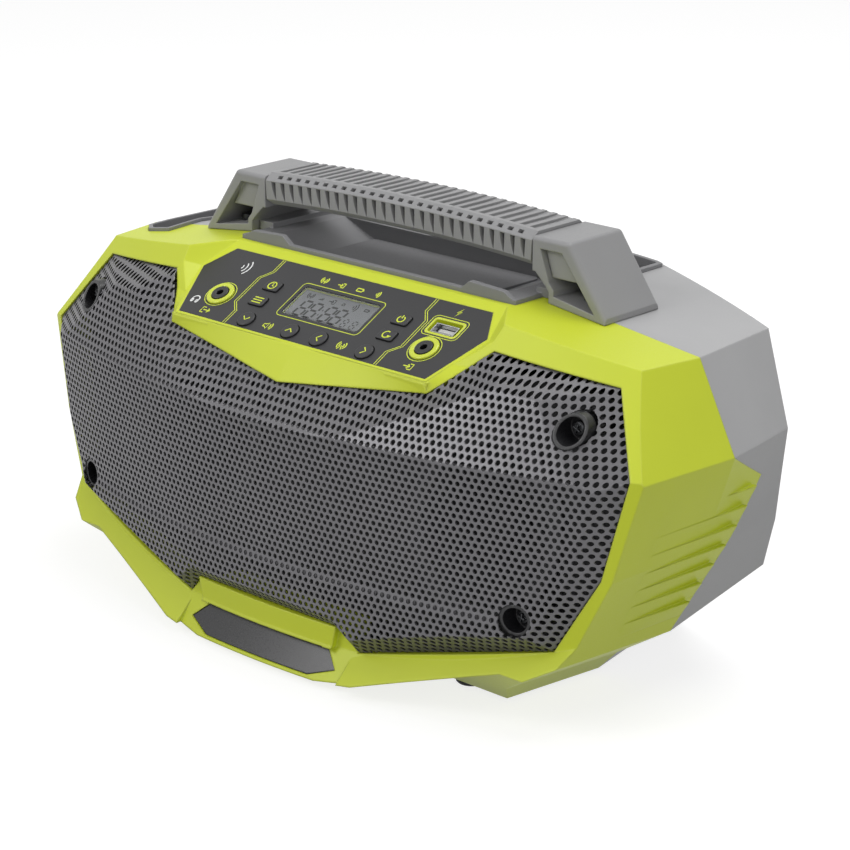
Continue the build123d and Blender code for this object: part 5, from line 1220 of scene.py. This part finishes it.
# ---------------------------------------------------------------------- screws
@dataclass
class CrossScrews:
    """Pan heads with a cross recess, in place of the frame's plain ones.

    Attributes:
        flat_share: Radius of a head's flat top against its own.
        draft: How far the walls of the cross lean in.
        spin: Turn of the heads in degrees, a different way at each side.
    """

    radius: float = 3.2
    tall: float = 2.4
    dome: float = 0.6
    flat_share: float = 0.82
    sides: int = 24
    arm: float = 2.0
    arm_half: float = 0.42
    sunk: float = 1.3
    draft: float = 0.12
    spin: float = 20.0
    wells: tuple[Point, Point] = SCREW_WELLS

    def head(self) -> Form:
        """One head about the origin, its top facing up.

        Returns:
            The head, in millimetres.
        """
        form = bmesh.new()
        star = [
            (self.arm, self.arm_half), (self.arm_half, self.arm_half), (self.arm_half, self.arm)
        ]
        outline = []
        for turn in range(4):
            spin = Matrix.Rotation(turn * math.pi / 2, 2)
            outline += [spin @ Vector(point) for point in star]
        cross = [form.verts.new((p.x, p.y, self.tall)) for p in outline]
        cross_edges = [form.edges.new(pair) for pair in sides_of(cross)]
        rim = bmesh.ops.create_circle(
            form, segments=self.sides, radius=self.radius * self.flat_share, cap_ends=False
        )["verts"]
        bmesh.ops.translate(form, vec=(0, 0, self.tall), verts=rim)
        rim_edges = [e for e in form.edges if e not in cross_edges]
        bmesh.ops.bridge_loops(form, edges=[*cross_edges, *rim_edges])
        floor = bmesh.ops.contextual_create(form, geom=cross_edges)["faces"]
        bmesh.ops.inset_region(form, faces=floor, thickness=self.draft, depth=-self.sunk)
        for radius, level in ((self.radius, self.tall - self.dome), (self.radius, 0.0)):
            skirt = bmesh.ops.extrude_edge_only(form, edges=rim_edges)["geom"]
            rim = [item for item in skirt if isinstance(item, bmesh.types.BMVert)]
            rim_edges = [item for item in skirt if isinstance(item, bmesh.types.BMEdge)]
            for vert in rim:
                flat = Vector((vert.co.x, vert.co.y)).normalized() * radius
                vert.co = (flat.x, flat.y, level)
        bmesh.ops.contextual_create(form, geom=rim_edges)
        bmesh.ops.recalc_face_normals(form, faces=form.faces[:])
        return form

    def build(self) -> None:
        """Set a head on the floor of each well."""
        plain = surface_of(["grille_screws"])
        heads = bmesh.new()
        stamp = as_mesh(self.head(), "head")
        for x, z in self.wells:
            for side in (-1, 1):
                hit, _ = cast_back(plain, side * x, z)
                before = len(heads.verts)
                heads.from_mesh(stamp)
                heads.verts.ensure_lookup_table()
                to_place = (
                    Matrix.Translation(hit + Vector((0, self.tall * MM, 0)))
                    @ Matrix.Rotation(math.pi / 2, 4, "X")
                    @ Matrix.Rotation(math.radians(self.spin * side + z), 4, "Z")
                    @ Matrix.Scale(MM, 4)
                )
                bmesh.ops.transform(heads, matrix=to_place, verts=heads.verts[before:])
        Piece(
            "grille_screw_heads", BLACK_STEEL, "screw_black", stands_for=("grille_screws",)
        ).place(heads)


# ---------------------------------------------------------------------- studio
@dataclass(frozen=True)
class SoftBox:
    """One square lamp aimed at a point."""

    name: str
    at: tuple[float, float, float]
    size: float
    power: float

    def light(self, aim: Vector) -> None:
        """Add the lamp, facing its aim.

        Args:
            aim: Point it faces.
        """
        lamp = bpy.data.lights.new(self.name, "AREA")
        lamp.shape = "SQUARE"
        lamp.size = self.size
        lamp.energy = self.power
        holder = put(self.name, lamp)
        holder.location = self.at
        holder.rotation_euler = (aim - Vector(self.at)).to_track_quat("-Z", "Y").to_euler()


@dataclass
class Studio:
    """White floor and surroundings, soft lamps and the camera.

    Attributes:
        far: Distance beyond which the camera sees nothing.
        ambient: Strength of the light from all round.
        floor_colour: Colour of the floor where it is lit.
        floor_glow: How much the floor glows to the eye.
    """

    camera_at: tuple[float, float, float] = (0.80724, -0.84354, 0.48107)
    camera_turn: tuple[float, float, float] = (71.57, 0.0, 43.02)
    lens: float = 111.7
    sensor: float = 36.0
    far: float = 50.0
    aim: tuple[float, float, float] = (0.0, 0.0, 0.09)
    ambient: float = 0.28
    floor_half: float = 4.0
    floor_colour: str = "#A0A0A0"
    floor_glow: float = 0.78
    lamps: tuple[SoftBox, ...] = (
        SoftBox("key_lamp", (-0.9, -1.7, 1.5), 1.1, 19.5),
        SoftBox("fill_lamp", (1.9, -1.3, 0.8), 1.4, 13.0),
        SoftBox("top_lamp", (0.3, 0.5, 2.0), 1.4, 24.0),
    )

    def seen_straight(self, tree: Tree) -> Socket:
        """1 where a ray from the eye, a mirror or a clear part arrives.

        Args:
            tree: Tree that takes the nodes.

        Returns:
            The socket with that value.
        """
        path = add_node(tree, "ShaderNodeLightPath")
        total = path.outputs["Is Camera Ray"]
        for name in ("Is Glossy Ray", "Is Transmission Ray"):
            total = add_node(
                tree, "ShaderNodeMath", {"operation": "MAXIMUM"}, {0: total, 1: path.outputs[name]}
            ).outputs["Value"]
        return total

    def world(self) -> None:
        """White surroundings that light the object at a plain level."""
        world = bpy.data.worlds.new("studio_world")
        world.use_nodes = True
        tree = world.node_tree
        tree.nodes.clear()
        add = partial(add_node, tree)
        level = remap(tree, self.seen_straight(tree), (0.0, 1.0), (self.ambient, 1.0))
        glow = add("ShaderNodeBackground", inputs={"Color": (1, 1, 1, 1), "Strength": level})
        add("ShaderNodeOutputWorld", inputs={"Surface": glow.outputs["Background"]})
        bpy.context.scene.world = world

    def floor(self) -> None:
        """Pale floor that keeps the object's shadow."""
        form = bmesh.new()
        bmesh.ops.create_grid(form, x_segments=1, y_segments=1, size=self.floor_half)
        mesh = as_mesh(form, "studio_floor")
        material = bpy.data.materials.new("studio_paper")
        material.use_nodes = True
        tree = material.node_tree
        tree.nodes.clear()
        add = partial(add_node, tree)
        level = add(
            "ShaderNodeMath",
            {"operation": "MULTIPLY"},
            {0: self.seen_straight(tree), 1: self.floor_glow},
        )
        paper = add("ShaderNodeBsdfDiffuse", inputs={"Color": linear(self.floor_colour)})
        glow = add("ShaderNodeEmission", inputs={"Strength": level.outputs["Value"]})
        both = add(
            "ShaderNodeAddShader", inputs={0: paper.outputs["BSDF"], 1: glow.outputs["Emission"]}
        )
        add("ShaderNodeOutputMaterial", inputs={"Surface": both.outputs["Shader"]})
        mesh.materials.append(material)
        put("studio_floor", mesh)

    def camera(self) -> None:
        """Camera at the viewing angle of the front right corner."""
        data = bpy.data.cameras.new("studio_camera")
        data.lens = self.lens
        data.sensor_width = self.sensor
        data.clip_end = self.far
        camera = put("studio_camera", data)
        camera.location = self.camera_at
        camera.rotation_euler = [math.radians(turn) for turn in self.camera_turn]
        bpy.context.scene.camera = camera

    def build(self) -> None:
        """Set up the camera, surroundings, floor and lamps."""
        bpy.context.scene.view_settings.view_transform = "Standard"
        self.camera()
        self.world()
        self.floor()
        for lamp in self.lamps:
            lamp.light(Vector(self.aim))


def main() -> None:
    """Build the studio and every sub-assembly in order, and log each sub-assembly as it is built.
    """
    logging.basicConfig(level=logging.INFO, format="%(name)s: %(message)s")
    Studio().build()
    Dresser().dress()
    for assembly in (SpeakerGrille(), ControlPanel(), Display(), CrossScrews()):
        assembly.build()
        log.info("built %s", type(assembly).__name__)


if __name__ == "__main__":
    main()
